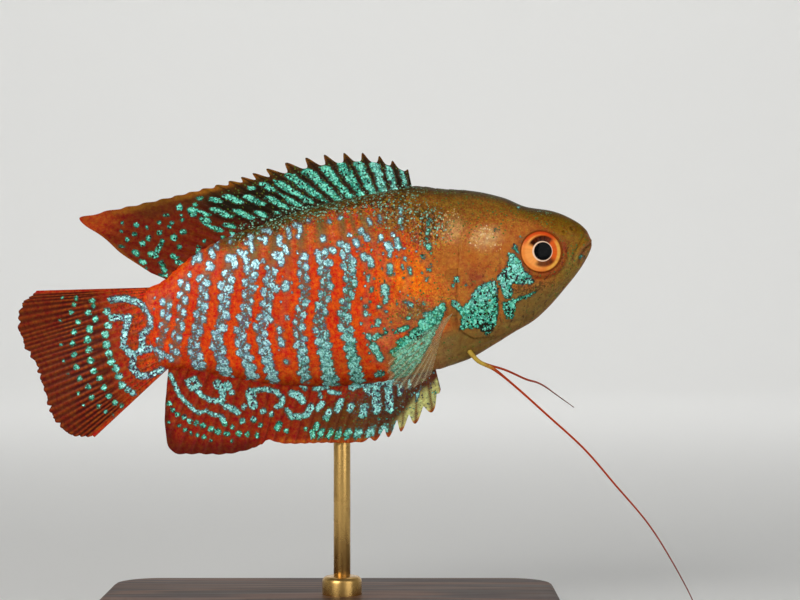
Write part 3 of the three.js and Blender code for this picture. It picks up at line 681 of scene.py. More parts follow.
# Where a place on the body lies on the flat map of its skin: x along it, and the way round from the
# mid line up to the back or down to the keel, each side of the fish in its own half.
GIRTH_STATIONS = 300
GIRTH_HALF_STEPS = 120
KEPT_STATIONS = 6
GIRTH_X = np.linspace(TAIL_ROOT_X, SNOUT_X, GIRTH_STATIONS)
GIRTH_TURN = np.linspace(-1, 1, 2 * GIRTH_HALF_STEPS + 1)
girth_ring = flank(GIRTH_X[:, None], GIRTH_TURN[None, :], 1)
girth_steps = np.linalg.norm(np.diff(girth_ring, axis=1), axis=-1)
girth = np.concatenate([np.zeros((len(GIRTH_X), 1)), np.cumsum(girth_steps, axis=1)], axis=1)
girth -= girth[:, [GIRTH_HALF_STEPS]]
girth_above = smooth_through(list(zip(GIRTH_X[::KEPT_STATIONS], girth[::KEPT_STATIONS, -1])))
girth_below = smooth_through(list(zip(GIRTH_X[::KEPT_STATIONS], -girth[::KEPT_STATIONS, 0])))
girth_scale = np.where(girth > 0, girth[:, [-1]], -girth[:, [0]])
turn_table = np.array([np.interp(GIRTH_TURN, row, GIRTH_TURN) for row in girth / girth_scale])


def sample(table, x, across, low, high):
    """A value read from a table with rows along the body, blended between its nearest entries."""
    last_row, last_column = table.shape[0] - 1, table.shape[1] - 1
    i = np.clip((x - TAIL_ROOT_X) / (SNOUT_X - TAIL_ROOT_X) * last_row, 0, last_row - 0.001)
    j = np.clip((across - low) / (high - low) * last_column, 0, last_column - 0.001)
    i0, j0 = i.astype(int), j.astype(int)
    fi, fj = i - i0, j - j0
    near = table[i0, j0] * (1 - fj) + table[i0, j0 + 1] * fj
    far = table[i0 + 1, j0] * (1 - fj) + table[i0 + 1, j0 + 1] * fj
    return near * (1 - fi) + far * fi


def turn_at(x, way):
    """The turn of the place that lies this far round the body from its mid line."""
    share = np.where(way > 0, way / girth_above(x), way / girth_below(x))
    return sample(turn_table, x, np.clip(share, -1, 1), -1, 1)


def way_at(x, turn):
    """How far round the body from its mid line the place at this turn lies."""
    return sample(girth, x, turn, -1, 1)


MAP_MARGIN = 0.01
MAP_SCALE = (1 - 2 * MAP_MARGIN) / (SNOUT_X - TAIL_ROOT_X)
MAP_ROUND_SHARE = 0.98


def skin_map(x, way, side):
    """The place of a point on the flat map: the right side fills the lower half, the left the upper."""
    across = 0.25 + way * MAP_SCALE * MAP_ROUND_SHARE + np.where(np.asarray(side) > 0, 0.5, 0)
    along = np.broadcast_to(MAP_MARGIN + (x - TAIL_ROOT_X) * MAP_SCALE, np.shape(across))
    return np.stack([along, across], -1)


SKIN_STATIONS = 372
SKIN_HEAD_STATIONS = 214
SKIN_HEAD_FROM = 13
SKIN_HALF_RING = 116
SKIN_END_GAP = (0.02, 0.03)
END_BULGE = (0.1, 0, 0)
RELIEF_FROM = (12, 13.6)
RELIEF_FADE = 0.7

head_x = np.linspace(SNOUT_X - SKIN_END_GAP[0], SKIN_HEAD_FROM, SKIN_HEAD_STATIONS)
trunk_stations = SKIN_STATIONS - SKIN_HEAD_STATIONS
trunk_x = np.linspace(SKIN_HEAD_FROM, TAIL_ROOT_X + SKIN_END_GAP[1], trunk_stations + 1)[1:]
station_x = np.concatenate([head_x, trunk_x])
half_turns = np.linspace(-1, 1, SKIN_HALF_RING + 1)
ring_turn = np.concatenate([half_turns[:-1], half_turns[::-1][:-1]])
ring_side = np.repeat([-1, 1], SKIN_HALF_RING)
skin_points = flank(station_x[:, None], ring_turn[None, :], ring_side[None, :])
along_body = np.gradient(skin_points, axis=0)
round_body = np.roll(skin_points, -1, axis=1) - np.roll(skin_points, 1, axis=1)
outward = np.cross(along_body, round_body)
outward /= np.linalg.norm(outward, axis=-1, keepdims=True) + 1e-9
outward *= np.sign(outward[..., 1:2] * ring_side[None, :, None] + 1e-9)
skin_x, skin_z = skin_points[..., 0], skin_points[..., 2]
from_outline = np.minimum(skin_z - belly(skin_x), back(skin_x) - skin_z)
relief = head_relief(skin_x, skin_z) * smooth(0, RELIEF_FADE, from_outline) * smooth(*RELIEF_FROM, skin_x)
flat_places = skin_points.copy()
skin_points = skin_points + outward * relief[..., None]

ring = 2 * SKIN_HALF_RING
rows = len(station_x)
skin_faces = [
    (i * ring + j, i * ring + (j + 1) % ring, (i + 1) * ring + (j + 1) % ring, (i + 1) * ring + j)
    for i in range(rows - 1)
    for j in range(ring)
]
snout_point, tail_point = rows * ring, rows * ring + 1
skin_faces += [(snout_point, (j + 1) % ring, j) for j in range(ring)]
skin_faces += [(tail_point, (rows - 1) * ring + j, (rows - 1) * ring + (j + 1) % ring) for j in range(ring)]
end_points = [skin_points[0].mean(0) + END_BULGE, skin_points[-1].mean(0) - END_BULGE]
all_points = np.concatenate([skin_points.reshape(-1, 3), end_points])
flat_all = np.concatenate([flat_places.reshape(-1, 3), end_points])

skin_faces = turned_out(all_points, skin_faces)
skin = mesh_piece("skin", all_points, skin_faces)
paint_body(skin, flat_all[:, 0], flat_all[:, 2])

half_shape = (rows, SKIN_HALF_RING + 1)
ring_way = way_at(np.broadcast_to(station_x[:, None], half_shape), np.broadcast_to(half_turns, half_shape))
right_map = skin_map(station_x[:, None], ring_way, -1)
left_map = skin_map(station_x[:, None], ring_way[:, ::-1], 1)
both_maps = np.concatenate([right_map[:, :, None], left_map[:, :, None]], axis=2)
loop_vertex = np.zeros(len(skin.data.loops), np.int32)
skin.data.loops.foreach_get("vertex_index", loop_vertex)
face_of_loop = np.repeat(np.arange(len(skin_faces)), [len(face) for face in skin_faces])
column_of_face = np.concatenate([np.tile(np.arange(ring), rows - 1), np.arange(ring), np.arange(ring)])
left_face = column_of_face[face_of_loop] >= SKIN_HALF_RING
row_of_loop = np.minimum(loop_vertex // ring, rows - 1)
column_of_loop = loop_vertex % ring
is_end = loop_vertex >= rows * ring
step_on_left = np.where(column_of_loop < SKIN_HALF_RING, SKIN_HALF_RING, column_of_loop - SKIN_HALF_RING)
step_on_right = np.minimum(column_of_loop, SKIN_HALF_RING)
corner_map = np.where(
    left_face[:, None],
    both_maps[row_of_loop, np.clip(step_on_left, 0, SKIN_HALF_RING), 1],
    both_maps[row_of_loop, np.clip(step_on_right, 0, SKIN_HALF_RING), 0],
)
end_place = np.where(loop_vertex == snout_point, SNOUT_X, TAIL_ROOT_X)
end_map = skin_map(end_place, np.zeros(len(end_place)), np.where(left_face, 1, -1))
corner_map = np.where(is_end[:, None], end_map, corner_map)
lay_out(skin, "OFBake", corner_map)


def tree_of(*values):
    """The node tree of the first socket among these values."""
    return next(value.id_data for value in values if isinstance(value, bpy.types.NodeSocket))


def maths(operation, *values):
    """One sum of numbers or sockets."""
    return add_node(tree_of(*values), "Math", dict(enumerate(values)), operation=operation).outputs[0]


def times(first, second):
    return maths("MULTIPLY", first, second)


def plus(first, second):
    return maths("ADD", first, second)


def minus(first, second):
    return maths("SUBTRACT", first, second)


def times_plus(first, second, third):
    """The first times the second, plus the third."""
    return maths("MULTIPLY_ADD", first, second, third)


def between(value, low, high, start=0, end=1):
    """A socket that eases from start to end as the value goes from low to high."""
    inputs = {"Value": value, "From Min": low, "From Max": high, "To Min": start, "To Max": end}
    return add_node(value.id_data, "MapRange", inputs, interpolation_type="SMOOTHSTEP").outputs[0]


def mix(amount, first, second, blend="MIX"):
    """A socket that goes from the first colour to the second."""
    tree = tree_of(amount, first, second)
    made = add_node(tree, "Mix", {0: amount}, data_type="RGBA", blend_type=blend)
    for index, colour in ((6, first), (7, second)):
        if isinstance(colour, bpy.types.NodeSocket):
            tree.links.new(colour, made.inputs[index])
        else:
            made.inputs[index].default_value = (*colour, 1)
    return made.outputs[2]


def noise(place, scale, detail=2, roughness=0.55):
    """Cloudy noise of this many waves to each unit of place."""
    inputs = {"Vector": place, "Scale": scale, "Detail": detail, "Roughness": roughness}
    return add_node(place.id_data, "TexNoise", inputs).outputs[0]


def cells(place, scale, feature="F1"):
    """A pattern of cells, this many to each unit of place."""
    return add_node(place.id_data, "TexVoronoi", {"Vector": place, "Scale": scale}, feature=feature)


def channels(colour):
    """The three numbers of a colour: for a cell's colour, three chances of its own."""
    return add_node(colour.id_data, "SeparateColor", {0: colour}).outputs


def parts(vector):
    """The X, Y and Z of a vector."""
    return add_node(vector.id_data, "SeparateXYZ", {0: vector}).outputs


def length(vector):
    """How long a vector is."""
    return add_node(vector.id_data, "VectorMath", {0: vector}, operation="LENGTH").outputs["Value"]


def stir(place, scale, detail, reach):
    """The place moved about by a noise, so that what is drawn there gets uneven edges."""
    tree = place.id_data
    drift = add_node(tree, "TexNoise", {"Vector": place, "Scale": scale, "Detail": detail}).outputs["Color"]
    inputs = {0: drift, 1: (reach, reach, reach), 2: place}
    return add_node(tree, "VectorMath", inputs, operation="MULTIPLY_ADD").outputs[0]


def group_of(name, inputs, outputs):
    """An empty shader node group with these sockets, and its input and output nodes."""
    tree = bpy.data.node_groups.new(name, "ShaderNodeTree")
    for label, kind in inputs:
        tree.interface.new_socket(label, in_out="INPUT", socket_type="NodeSocket" + kind)
    for label, kind in outputs:
        tree.interface.new_socket(label, in_out="OUTPUT", socket_type="NodeSocket" + kind)
    return tree, tree.nodes.new("NodeGroupInput").outputs, tree.nodes.new("NodeGroupOutput").inputs


def put_group(tree, group, inputs):
    """Places a node group in a material or in another group."""
    made = tree.nodes.new("ShaderNodeGroup")
    made.node_tree = group
    for label, value in inputs.items():
        if isinstance(value, bpy.types.NodeSocket):
            tree.links.new(value, made.inputs[label])
        else:
            made.inputs[label].default_value = value
    return made.outputs


def fish_place(tree):
    """Object coordinates turned into the fish's own frame, in millimetres."""
    coordinates = add_node(tree, "TexCoord").outputs["Object"]
    lifted, turned, scaled = (0, 0, FISH_HEIGHT * MM), (0, -PITCH, 0), (MM, MM, MM)
    inputs = {"Vector": coordinates, "Location": lifted, "Rotation": turned, "Scale": scaled}
    return add_node(tree, "Mapping", inputs, vector_type="TEXTURE").outputs[0]


def painted(tree, name, output="Fac"):
    """A value stored on the piece's points."""
    return add_node(tree, "Attribute", attribute_name=name).outputs[output]


# Blue sheen: the bright grains in the skin that make the fish's blue, from pale sky blue to green.
# Depth is in millimetres, above 0 inside the blue. Near its edge the grains thin out one by one.
tree, given, put = group_of(
    "blue_sheen",
    [("Place", "Vector"), ("Depth", "Float"), ("Teal", "Float"), ("Dark", "Float")],
    [("Colour", "Color"), ("Mask", "Float"), ("Rim", "Float"), ("Height", "Float")],
)
GRAINS_PER_MM = 4.3
NET_PER_MM = 1.9
SKY_BLUE = [tint(106, 92, 84), tint(108, 160, 172), tint(196, 246, 252)]
SEA_GREEN = [tint(16, 74, 60), tint(50, 176, 146), tint(140, 246, 218)]
LEAF_GREEN = tint(78, 150, 70)
LILAC = tint(112, 104, 150)
NET_DARK = tint(30, 44, 34)
DARK_FLECK = tint(34, 32, 22)
DARK_LILAC = tint(82, 66, 84)

place = given["Place"]
stirred = stir(place, 1.7, 3, 0.34)
grain = cells(stirred, GRAINS_PER_MM)
chance = channels(grain.outputs["Color"])
clump = noise(place, 2.3, 2)
gaps = between(noise(place, 1.35, 3, 0.6), 0.6, 0.78, 0, 0.9)
gaps = times(gaps, between(given["Teal"], 0.5, 0.9))
shallow = minus(maths("MINIMUM", given["Depth"], 0.55), gaps)
edge = times_plus(clump, 0.4, plus(shallow, -0.19))
edge = plus(edge, times_plus(chance[0], 0.26, -0.13))
mask = between(edge, -0.03, 0.05)
depth_now = between(edge, 0, 0.32)
level = times_plus(depth_now, 0.85, times_plus(chance[1], 0.85, -0.3))
level = times_plus(noise(place, 1.1, 2), 0.6, plus(level, -0.3))
level = minus(level, between(grain.outputs["Distance"], 0.3, 0.62, 0, 0.35))
tones = [mix(given["Teal"], sky, sea) for sky, sea in zip(SKY_BLUE, SEA_GREEN)]
tone = mix(between(level, 0, 0.5), tones[0], tones[1])
tone = mix(between(level, 0.45, 1), tone, tones[2])
green_part = times(between(chance[2], 0.72, 0.9, 0, 0.7), given["Teal"])
tone = mix(green_part, tone, LEAF_GREEN)
lilac_part = between(chance[2], 0.24, 0.12, 0, 0.45)
lilac_part = times(lilac_part, between(given["Teal"], 0.6, 0.2))
tone = mix(lilac_part, tone, LILAC)
net_lines = cells(stirred, NET_PER_MM, "DISTANCE_TO_EDGE").outputs["Distance"]
net = between(net_lines, 0.02, 0.15, 0.75, 0)
net = times(net, between(noise(place, 1.2, 2), 0.4, 0.55))
net = times(net, given["Teal"])
tone = mix(net, tone, NET_DARK)
kept = minus(1, given["Dark"])
dark_grain = between(minus(chance[2], kept), -0.02, 0.04)
tone = mix(dark_grain, tone, mix(given["Teal"], DARK_LILAC, DARK_FLECK))
tree.links.new(tone, put["Colour"])
tree.links.new(mask, put["Mask"])
tree.links.new(between(edge, -0.3, 0), put["Rim"])
tree.links.new(times(chance[0], mask), put["Height"])
blue_sheen = tree

# Fish paint: the ground colour with its mottling, grain, flecks and painted glints of highlight, and the blue
# over it.
SPECKS_PER_MM = 7
SPECKLES_PER_MM = 4.4
SPECKLE_GAIN = 4.2
SPECKLE_HUE_GAIN = 0.4
PIGMENT_PER_MM = 5.2
FLECKS_PER_MM = 3.1
GLINTS_PER_MM = 3.6
WARM_CAST = tint(255, 190, 130)
DUSK_CAST = tint(120, 96, 70)
NAPE_FLECKS = (tint(98, 100, 28), tint(66, 112, 56))
FIN_FLECKS = (tint(70, 128, 98), tint(158, 226, 198))
GAP_BROWN = tint(54, 36, 12)
# The painted glints of highlight run between these two pale golds.
GLINT_GOLDS = (tint(222, 172, 74), tint(248, 230, 190))
RIM_BROWN = tint(96, 64, 44)
tree, given, put = group_of(
    "fish_paint",
    [
        ("Place", "Vector"), ("Ground", "Color"), ("Depth", "Float"), ("Teal", "Float"), ("Dark", "Float"),
        ("Fleck", "Float"), ("Glint", "Float"),
    ],
    [("Colour", "Color"), ("Sheen", "Float"), ("Height", "Float")],
)
place = given["Place"]
stirred_place = stir(place, 3, 2, 0.3)
patchy = noise(place, 0.75, 4, 0.6)
mottle = noise(place, 1.9, 3, 0.6)
grain = noise(place, 4.6, 3, 0.65)
speck = channels(cells(stirred_place, SPECKS_PER_MM).outputs["Color"])
grain_value = times_plus(grain, 0.45, 0.37)
fine_inputs = {"Vector": place, "Scale": SPECKLES_PER_MM, "Detail": 2.5, "Roughness": 0.6}
fine = add_node(tree, "TexNoise", fine_inputs).outputs
fine_hue = channels(fine["Color"])[1]
speckle = times(minus(fine[0], 0.5), times(given["Fleck"], SPECKLE_GAIN))
hue_gain = times(given["Fleck"], SPECKLE_HUE_GAIN)
hue_speckle = times(minus(fine_hue, 0.5), hue_gain)
hue_value = times_plus(mottle, 0.07, plus(hue_speckle, 0.46))
value = times_plus(mottle, 0.75, plus(grain_value, speckle))
hue_inputs = {
    "Hue": times_plus(speck[0], 0.014, hue_value),
    "Value": times_plus(speck[1], 0.09, value),
    "Color": given["Ground"],
}
lively = add_node(tree, "HueSaturation", hue_inputs).outputs[0]
warmed = mix(1, lively, WARM_CAST, "MULTIPLY")
lively = mix(between(patchy, 0.35, 0.7, 0, 0.35), lively, warmed)
pigment = cells(place, PIGMENT_PER_MM)
pigment_shade = channels(pigment.outputs["Color"])
pigment_dot = between(pigment.outputs["Distance"], 0.34, 0.16)
dusk = times(pigment_dot, between(pigment_shade[0], 0.80, 0.84, 0, 0.5))
lively = mix(dusk, lively, mix(1, lively, DUSK_CAST, "MULTIPLY"))
fleck_cells = cells(stirred_place, FLECKS_PER_MM)
fleck_shade = channels(fleck_cells.outputs["Color"])
thinned = between(noise(place, 1.3, 2), 0.36, 0.56, 0.15, 1)
enough = times_plus(times(given["Fleck"], thinned), -1, 1)
fleck = between(minus(fleck_shade[0], enough), 0, 0.04)
fleck = times(fleck, between(fleck_cells.outputs["Distance"], 0.50, 0.26))
nape_tone = mix(fleck_shade[1], *NAPE_FLECKS)
fin_tone = mix(fleck_shade[1], *FIN_FLECKS)
fleck_tone = mix(between(given["Fleck"], 0.4, 0.75), nape_tone, fin_tone)
dark_gap = between(fleck_shade[2], 0.55, 0.7, 0, 0.8)
dark_gap = times(dark_gap, between(given["Fleck"], 0.35, 0.9))
lively = mix(dark_gap, lively, GAP_BROWN)
lively = mix(fleck, lively, fleck_tone)
# Painted glints of highlight: pale gold cells laid into the colour where the glint paint lies.
glint_cells = cells(stirred_place, GLINTS_PER_MM)
glint_shade = channels(glint_cells.outputs["Color"])
too_few = minus(1, given["Glint"])
shine = between(minus(glint_shade[0], too_few), 0, 0.12)
shine = times(shine, between(glint_cells.outputs["Distance"], 0.6, 0.15, 0, 0.7))
lively = mix(shine, lively, mix(glint_shade[1], *GLINT_GOLDS))
sheen_inputs = {"Place": place, "Depth": given["Depth"], "Teal": given["Teal"], "Dark": given["Dark"]}
sheen = put_group(tree, blue_sheen, sheen_inputs)
rimmed = mix(times(sheen["Rim"], 0.45), lively, RIM_BROWN)
dark_cell = between(plus(pigment_shade[1], given["Dark"]), 0.9, 1.2)
dark_cell = times(dark_cell, between(given["Dark"], 0.2, 0.35, 0, 0.6))
rimmed = mix(dark_cell, rimmed, DARK_FLECK)
with_blue = mix(sheen["Mask"], rimmed, sheen["Colour"])
tree.links.new(with_blue, put["Colour"])
tree.links.new(maths("MAXIMUM", sheen["Mask"], fleck), put["Sheen"])
tree.links.new(times_plus(grain, 0.7, sheen["Height"]), put["Height"])
fish_paint = tree


def fish_surface(tree, ground, depth, names, bump_height, rough, metal):
    """Shader inputs from the fish paint, fed by the values of these names stored on the piece's points."""
    values = {name: painted(tree, name.lower()) for name in names}
    values.update({"Place": fish_place(tree), "Ground": ground, "Depth": depth})
    paint_now = put_group(tree, fish_paint, values)
    strength, distance = bump_height
    bump = add_node(tree, "Bump", {"Height": paint_now["Height"], "Strength": strength, "Distance": distance})
    return {
        "Base Color": paint_now["Colour"],
        "Roughness": between(paint_now["Sheen"], 0, 1, *rough),
        "Metallic": times(paint_now["Sheen"], metal),
        "Normal": bump.outputs[0],
    }


def skin_inputs(tree, depth=None):
    """The painted skin, or a scale of it that has a depth of blue of its own."""
    ground, names = painted(tree, "ground", "Color"), ("Teal", "Dark", "Fleck", "Glint")
    depth = depth or painted(tree, "blue")
    inputs = fish_surface(tree, ground, depth, names, (0.35, 0.00008), (0.42, 0.3), 0.3)
    return inputs | {"Specular IOR Level": 0.06, "Coat Weight": 0.05, "Coat Roughness": 0.1}


skin.data.materials.append(finish_material("painted_skin", skin_inputs))
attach(skin, "root")
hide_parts("head", "lower_jaw", "gill_cover_left", "gill_cover_right", "trunk", "tail_stalk")

# Scales: thin plates set in slanting rows over the trunk, each rooted under the one in front.
# Two columns of them carry each blue band, with a bright patch on the side next to the band's middle.
SCALE_SECTORS = 16
SCALE_RINGS = (0.3, 0.56, 0.79, 1)
SCALE_THICK = 0.04
SCALE_SINK = 0.03
SCALE_RISE = 0.1
SCALE_DOME = 0.03
SCALE_SQUARENESS = 0.1
SCALE_LONG, SCALE_OVERLAP = 1.22, 0.35
SCALE_WIDE = 1.16
SCALE_SHARP_EDGE = math.radians(50)
SCALE_ROW = 1.5
NARROW_ROW = 1.02
ROWS_TO = 14.6
LEAN_STEPS = 4
ROOT_STRAY_ROUND, ROOT_STRAY_ALONG, SCALE_TILT = 0.04, 0.05, 0.05
BARE_RIDGE = 0.2
EDGE_MARGIN = 0.03
SCALE_SHADES = 0.06
PATCH_WIDE = 0.47
PATCH_TALL = 0.6
PATCH_SPREAD = 0.12
PATCH_SHIFT = (0.07, 0.08)
SMALLEST_PATCH = 0.2
PATCHES_KEPT = 0.94
STRAY_PATCHES, STRAY_STRENGTH = 0.07, 0.55
SEAM_TO_PATCH = 0.46
NO_PATCH = 9
PATCH_GAIN = 1.35
SCALE_ON_MAP = 0.0034
# The tint of the painted shade along each scale's rim.
SCALE_RIM_SHADE = tint(110, 40, 20)
SIDES = (("right", -1), ("left", 1))
ROW_SPACING = smooth_through(
    [(-15, NARROW_ROW), (-9, 1.15), (-5.5, SCALE_ROW), (5, SCALE_ROW), (8, 1.15), (15, NARROW_ROW)]
)
SHOULDER_LINE = smooth_through(
    [(-13, 13.2), (-8.6, 14.7), (-3.8, 15.8), (-0.2, 16.7), (3.4, 18.1), (7, 20.5), (12, 22)]
)
SHOULDER_GAP = 0.2
TAIL_GAP = 0.7


def half_rows_to(limit):
    """How far round the body each half row lies, from the mid line to the limit."""
    ways = [0]
    while abs(ways[-1]) < ROWS_TO:
        ways.append(ways[-1] + math.copysign(float(ROW_SPACING(ways[-1])) / 2, limit))
    return ways


half_rows = np.array(half_rows_to(-ROWS_TO)[:0:-1] + half_rows_to(ROWS_TO))


def scale_roots(rng):
    """The middle of each scale: its band number, x, way round and z, and the spacing of rows there."""
    found = []
    for column in range(2, 2 * len(BANDS) - 4):
        number = column / 2 + 0.25
        mid_x = np.interp(number, np.arange(len(BANDS)), BAND_X)
        way = half_rows[column % 2 :: 2].copy()
        x = np.full(len(way), mid_x)
        for _ in range(LEAN_STEPS):
            z = flank(x, turn_at(x, way), 1)[:, 2]
            x = mid_x + band_shift(np.full(len(way), mid_x), z)
        way += rng.normal(0, ROOT_STRAY_ROUND, len(way))
        on_body = (way < girth_above(x) - BARE_RIDGE) & (-way < girth_below(x) - BARE_RIDGE)
        x = x + rng.normal(0, ROOT_STRAY_ALONG, len(x))
        found.append(np.stack([np.full(len(x), number), x, way, z, ROW_SPACING(way)], -1)[on_body])
    return np.concatenate(found)


def scale_coat(name, side, seed):
    """The scales of one side as one mesh of closed plates, with their paint."""
    rng = np.random.default_rng(seed)
    roots = scale_roots(rng)
    root_x, root_z = roots[:, 1], roots[:, 3]
    on_trunk = (root_x < SHOULDER_LINE(root_z) - SHOULDER_GAP) & (root_x > TAIL_ROOT_X + TAIL_GAP)
    number, x, way, z, spacing = roots[on_trunk].T
    column_gap = np.interp(number, np.arange(len(BANDS) - 1), np.diff(BAND_X)) / 2
    long = column_gap * SCALE_LONG + SCALE_OVERLAP
    wide = spacing * SCALE_WIDE

    # One plate: rings of points from its middle to its rim, and the rim once more underneath.
    angle = np.arange(SCALE_SECTORS) / SCALE_SECTORS * 2 * math.pi
    ring_scale = np.repeat(SCALE_RINGS, SCALE_SECTORS)
    around = np.tile(angle, len(SCALE_RINGS))
    plate_u = np.concatenate([[0], ring_scale * -np.cos(around)])
    plate_v = np.concatenate([[0], ring_scale * np.sin(around)])
    square = 1 + SCALE_SQUARENESS * np.cos(4 * np.concatenate([[0], around]) + math.pi)
    under_u, under_v = plate_u[-SCALE_SECTORS:], plate_v[-SCALE_SECTORS:]
    local_u = np.concatenate([plate_u * square, under_u])
    local_v = np.concatenate([plate_v * square, under_v])
    rim = np.concatenate([[0], ring_scale])
    lift = -SCALE_SINK + SCALE_RISE * smooth(0.7, -0.9, plate_u) + SCALE_DOME * (1 - rim**2)
    height = np.concatenate([lift, lift[-SCALE_SECTORS:] - SCALE_THICK])

    # Every plate laid on the body at its root.
    du = local_u[None] * long[:, None] / 2
    dv = local_v[None] * wide[:, None] / 2
    tilt = rng.normal(0, SCALE_TILT, len(x))[:, None]
    du, dv = du - dv * tilt, dv + du * tilt
    at_x = np.clip(x[:, None] + du, TAIL_ROOT_X + 0.05, SNOUT_X)
    at_way = way[:, None] + dv
    limit_above, limit_below = girth_above(at_x), girth_below(at_x)
    at_way = np.clip(at_way, -limit_below + EDGE_MARGIN, limit_above - EDGE_MARGIN)
    turn = turn_at(at_x, at_way)
    base = flank(at_x, turn, side)
    ahead = flank(at_x + 0.05, turn, side) - flank(at_x - 0.05, turn, side)
    over = flank(at_x, np.clip(turn + 0.01, -1, 1), side) - flank(at_x, np.clip(turn - 0.01, -1, 1), side)
    normal = np.cross(ahead, over)
    normal /= np.linalg.norm(normal, axis=-1, keepdims=True) + 1e-12
    normal *= np.where(normal[..., 1:2] * side < 0, -1, 1)
    thinner = np.minimum(1, 0.45 + 0.55 * wide / 1.7)[:, None, None]
    points = base + normal * (height[None, :, None] * thinner)

    count = len(local_u)
    faces_one = [(0, 1 + s, 1 + (s + 1) % SCALE_SECTORS) for s in range(SCALE_SECTORS)]
    for inner in range(1, 1 + len(SCALE_RINGS) * SCALE_SECTORS, SCALE_SECTORS):
        outer = inner + SCALE_SECTORS
        for s in range(SCALE_SECTORS):
            t = (s + 1) % SCALE_SECTORS
            faces_one.append((inner + s, outer + s, outer + t, inner + t))
    faces_one.append(tuple(reversed(range(count - SCALE_SECTORS, count))))
    faces_one = turned_out(points[0], faces_one)
    faces = [tuple(i + k * count for i in face) for k in range(len(x)) for face in faces_one]
    coat = mesh_piece(name, points.reshape(-1, 3), faces)

    # The paint: the body's markings, and each scale's own bright patch, where it has one.
    flat_x, flat_z = base[..., 0].ravel(), base[..., 2].ravel()
    paint_body(coat, flat_x, flat_z, np.repeat(rng.normal(1, SCALE_SHADES, len(x)), count)[:, None])

    strength = band_strength(number, z)
    stray = (rng.random(len(x)) < STRAY_PATCHES) * (z > -7) * (z < 4) * (x < 12) * STRAY_STRENGTH
    strength = np.maximum(strength * (rng.random(len(x)) < PATCHES_KEPT), stray)
    size = strength * rng.normal(1, PATCH_SPREAD, len(x)) * np.clip(0.55 + 0.45 * spacing / SCALE_ROW, 0.6, 1)
    size *= 1 + 0.15 * smooth(1, 4, z)
    to_seam = np.sign(np.rint(number) - number) * (column_gap / 2 - SEAM_TO_PATCH)
    shift_u = np.where(strength > 0.3, to_seam, 0) + rng.normal(0, PATCH_SHIFT[0], len(x))
    shift_v = rng.normal(0, PATCH_SHIFT[1], len(x))
    stretch = rng.normal(1, PATCH_SPREAD, len(x)) * np.where(z < -4, 1.1, 1)
    wide_patch = PATCH_WIDE * size * stretch
    tall_patch = PATCH_TALL * size / stretch
    has = size > SMALLEST_PATCH
    lie_u = np.where(has[:, None], (du - shift_u[:, None]) / np.maximum(wide_patch, 0.05)[:, None], NO_PATCH)
    lie_v = np.where(has[:, None], (dv - shift_v[:, None]) / np.maximum(tall_patch, 0.05)[:, None], 0)
    scale_size = np.broadcast_to(np.where(has, wide_patch, 0.1)[:, None], lie_u.shape)
    paint(coat, "patch", np.stack([lie_u, lie_v, scale_size], -1).reshape(-1, 3))
    paint(coat, "rim", np.tile(np.concatenate([rim, np.ones(SCALE_SECTORS)]), len(x)))

    on_map = skin_map(x, way, side)[:, None, :] + np.stack([local_u, local_v], -1)[None] * SCALE_ON_MAP / 2
    loops = np.concatenate([np.array(face) for face in faces_one])
    is_under = np.repeat([False] * (len(faces_one) - 1) + [True], [len(face) for face in faces_one])
    places = on_map[:, loops] + np.where(is_under[:, None], (0, SCALE_ON_MAP * 1.2), 0)
    lay_out(coat, "OFBake", places.reshape(-1, 2))
    return coat


def scale_inputs(tree):
    """Scales carry the skin's paint, with each one's own bright patch and a painted shade darkening its rim.
    """
    lie = parts(painted(tree, "patch", "Vector"))
    away = length(add_node(tree, "CombineXYZ", {0: lie[0], 1: lie[1]}).outputs[0])
    own = times(times(minus(1, away), lie[2]), PATCH_GAIN)
    inputs = skin_inputs(tree, maths("MAXIMUM", own, painted(tree, "blue")))
    # Painted shade: each scale's rim is darkened a little, where the plates overlap.
    edge_shade = between(painted(tree, "rim"), 0.8, 1, 0, 0.1)
    inputs["Base Color"] = mix(edge_shade, inputs["Base Color"], SCALE_RIM_SHADE, "MULTIPLY")
    return inputs


scale_material = finish_material("painted_scales", scale_inputs)
for seed, (word, side) in enumerate(SIDES, 11):
    coat = scale_coat(f"scales_{word}", side, seed)
    coat.data.materials.append(scale_material)
    bpy.context.view_layer.objects.active = coat
    coat.select_set(True)
    bpy.ops.object.shade_smooth_by_angle(angle=SCALE_SHARP_EDGE)
    coat.select_set(False)
    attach(coat, "root")

# Eyes: domes let into the sockets, painted with a black pupil, a pale ring and an orange iris that
# darkens above and below the pupil, under a thin clear coat. One ball shape, turned to each side.
EYE_BULGE = 0.62
EYE_EDGE = 3.28
EYE_TURN = 0.2
EYE_BACK = 1.2
PUPIL_FORWARD = 0.16
PUPIL_RADIUS = 1.15
RING_RADIUS = 1.28
IRIS_RADIUS = 2.52
RING_BEHIND = 0.07
IRIS_BEHIND = 0.25
LENS_BULGE = 0.05
LENS_EDGE = (1.25, 0.9)
BALL_SEGMENTS, BALL_RINGS = 64, 32
PUPIL_BLACK = tint(4, 5, 7)
RING_PALE = tint(244, 206, 176)
IRIS_BACK, IRIS_FRONT = tint(252, 162, 80), tint(232, 92, 16)
IRIS_EDGE = tint(232, 120, 40)
IRIS_GOLD = tint(252, 196, 84)
ABOVE_PUPIL, BELOW_PUPIL = tint(40, 10, 0), tint(64, 34, 20)
IRIS_RED = tint(216, 66, 24)
IRIS_STREAK = tint(190, 80, 30)
LID_BROWN, LID_EDGE = tint(132, 52, 10), tint(158, 88, 32)


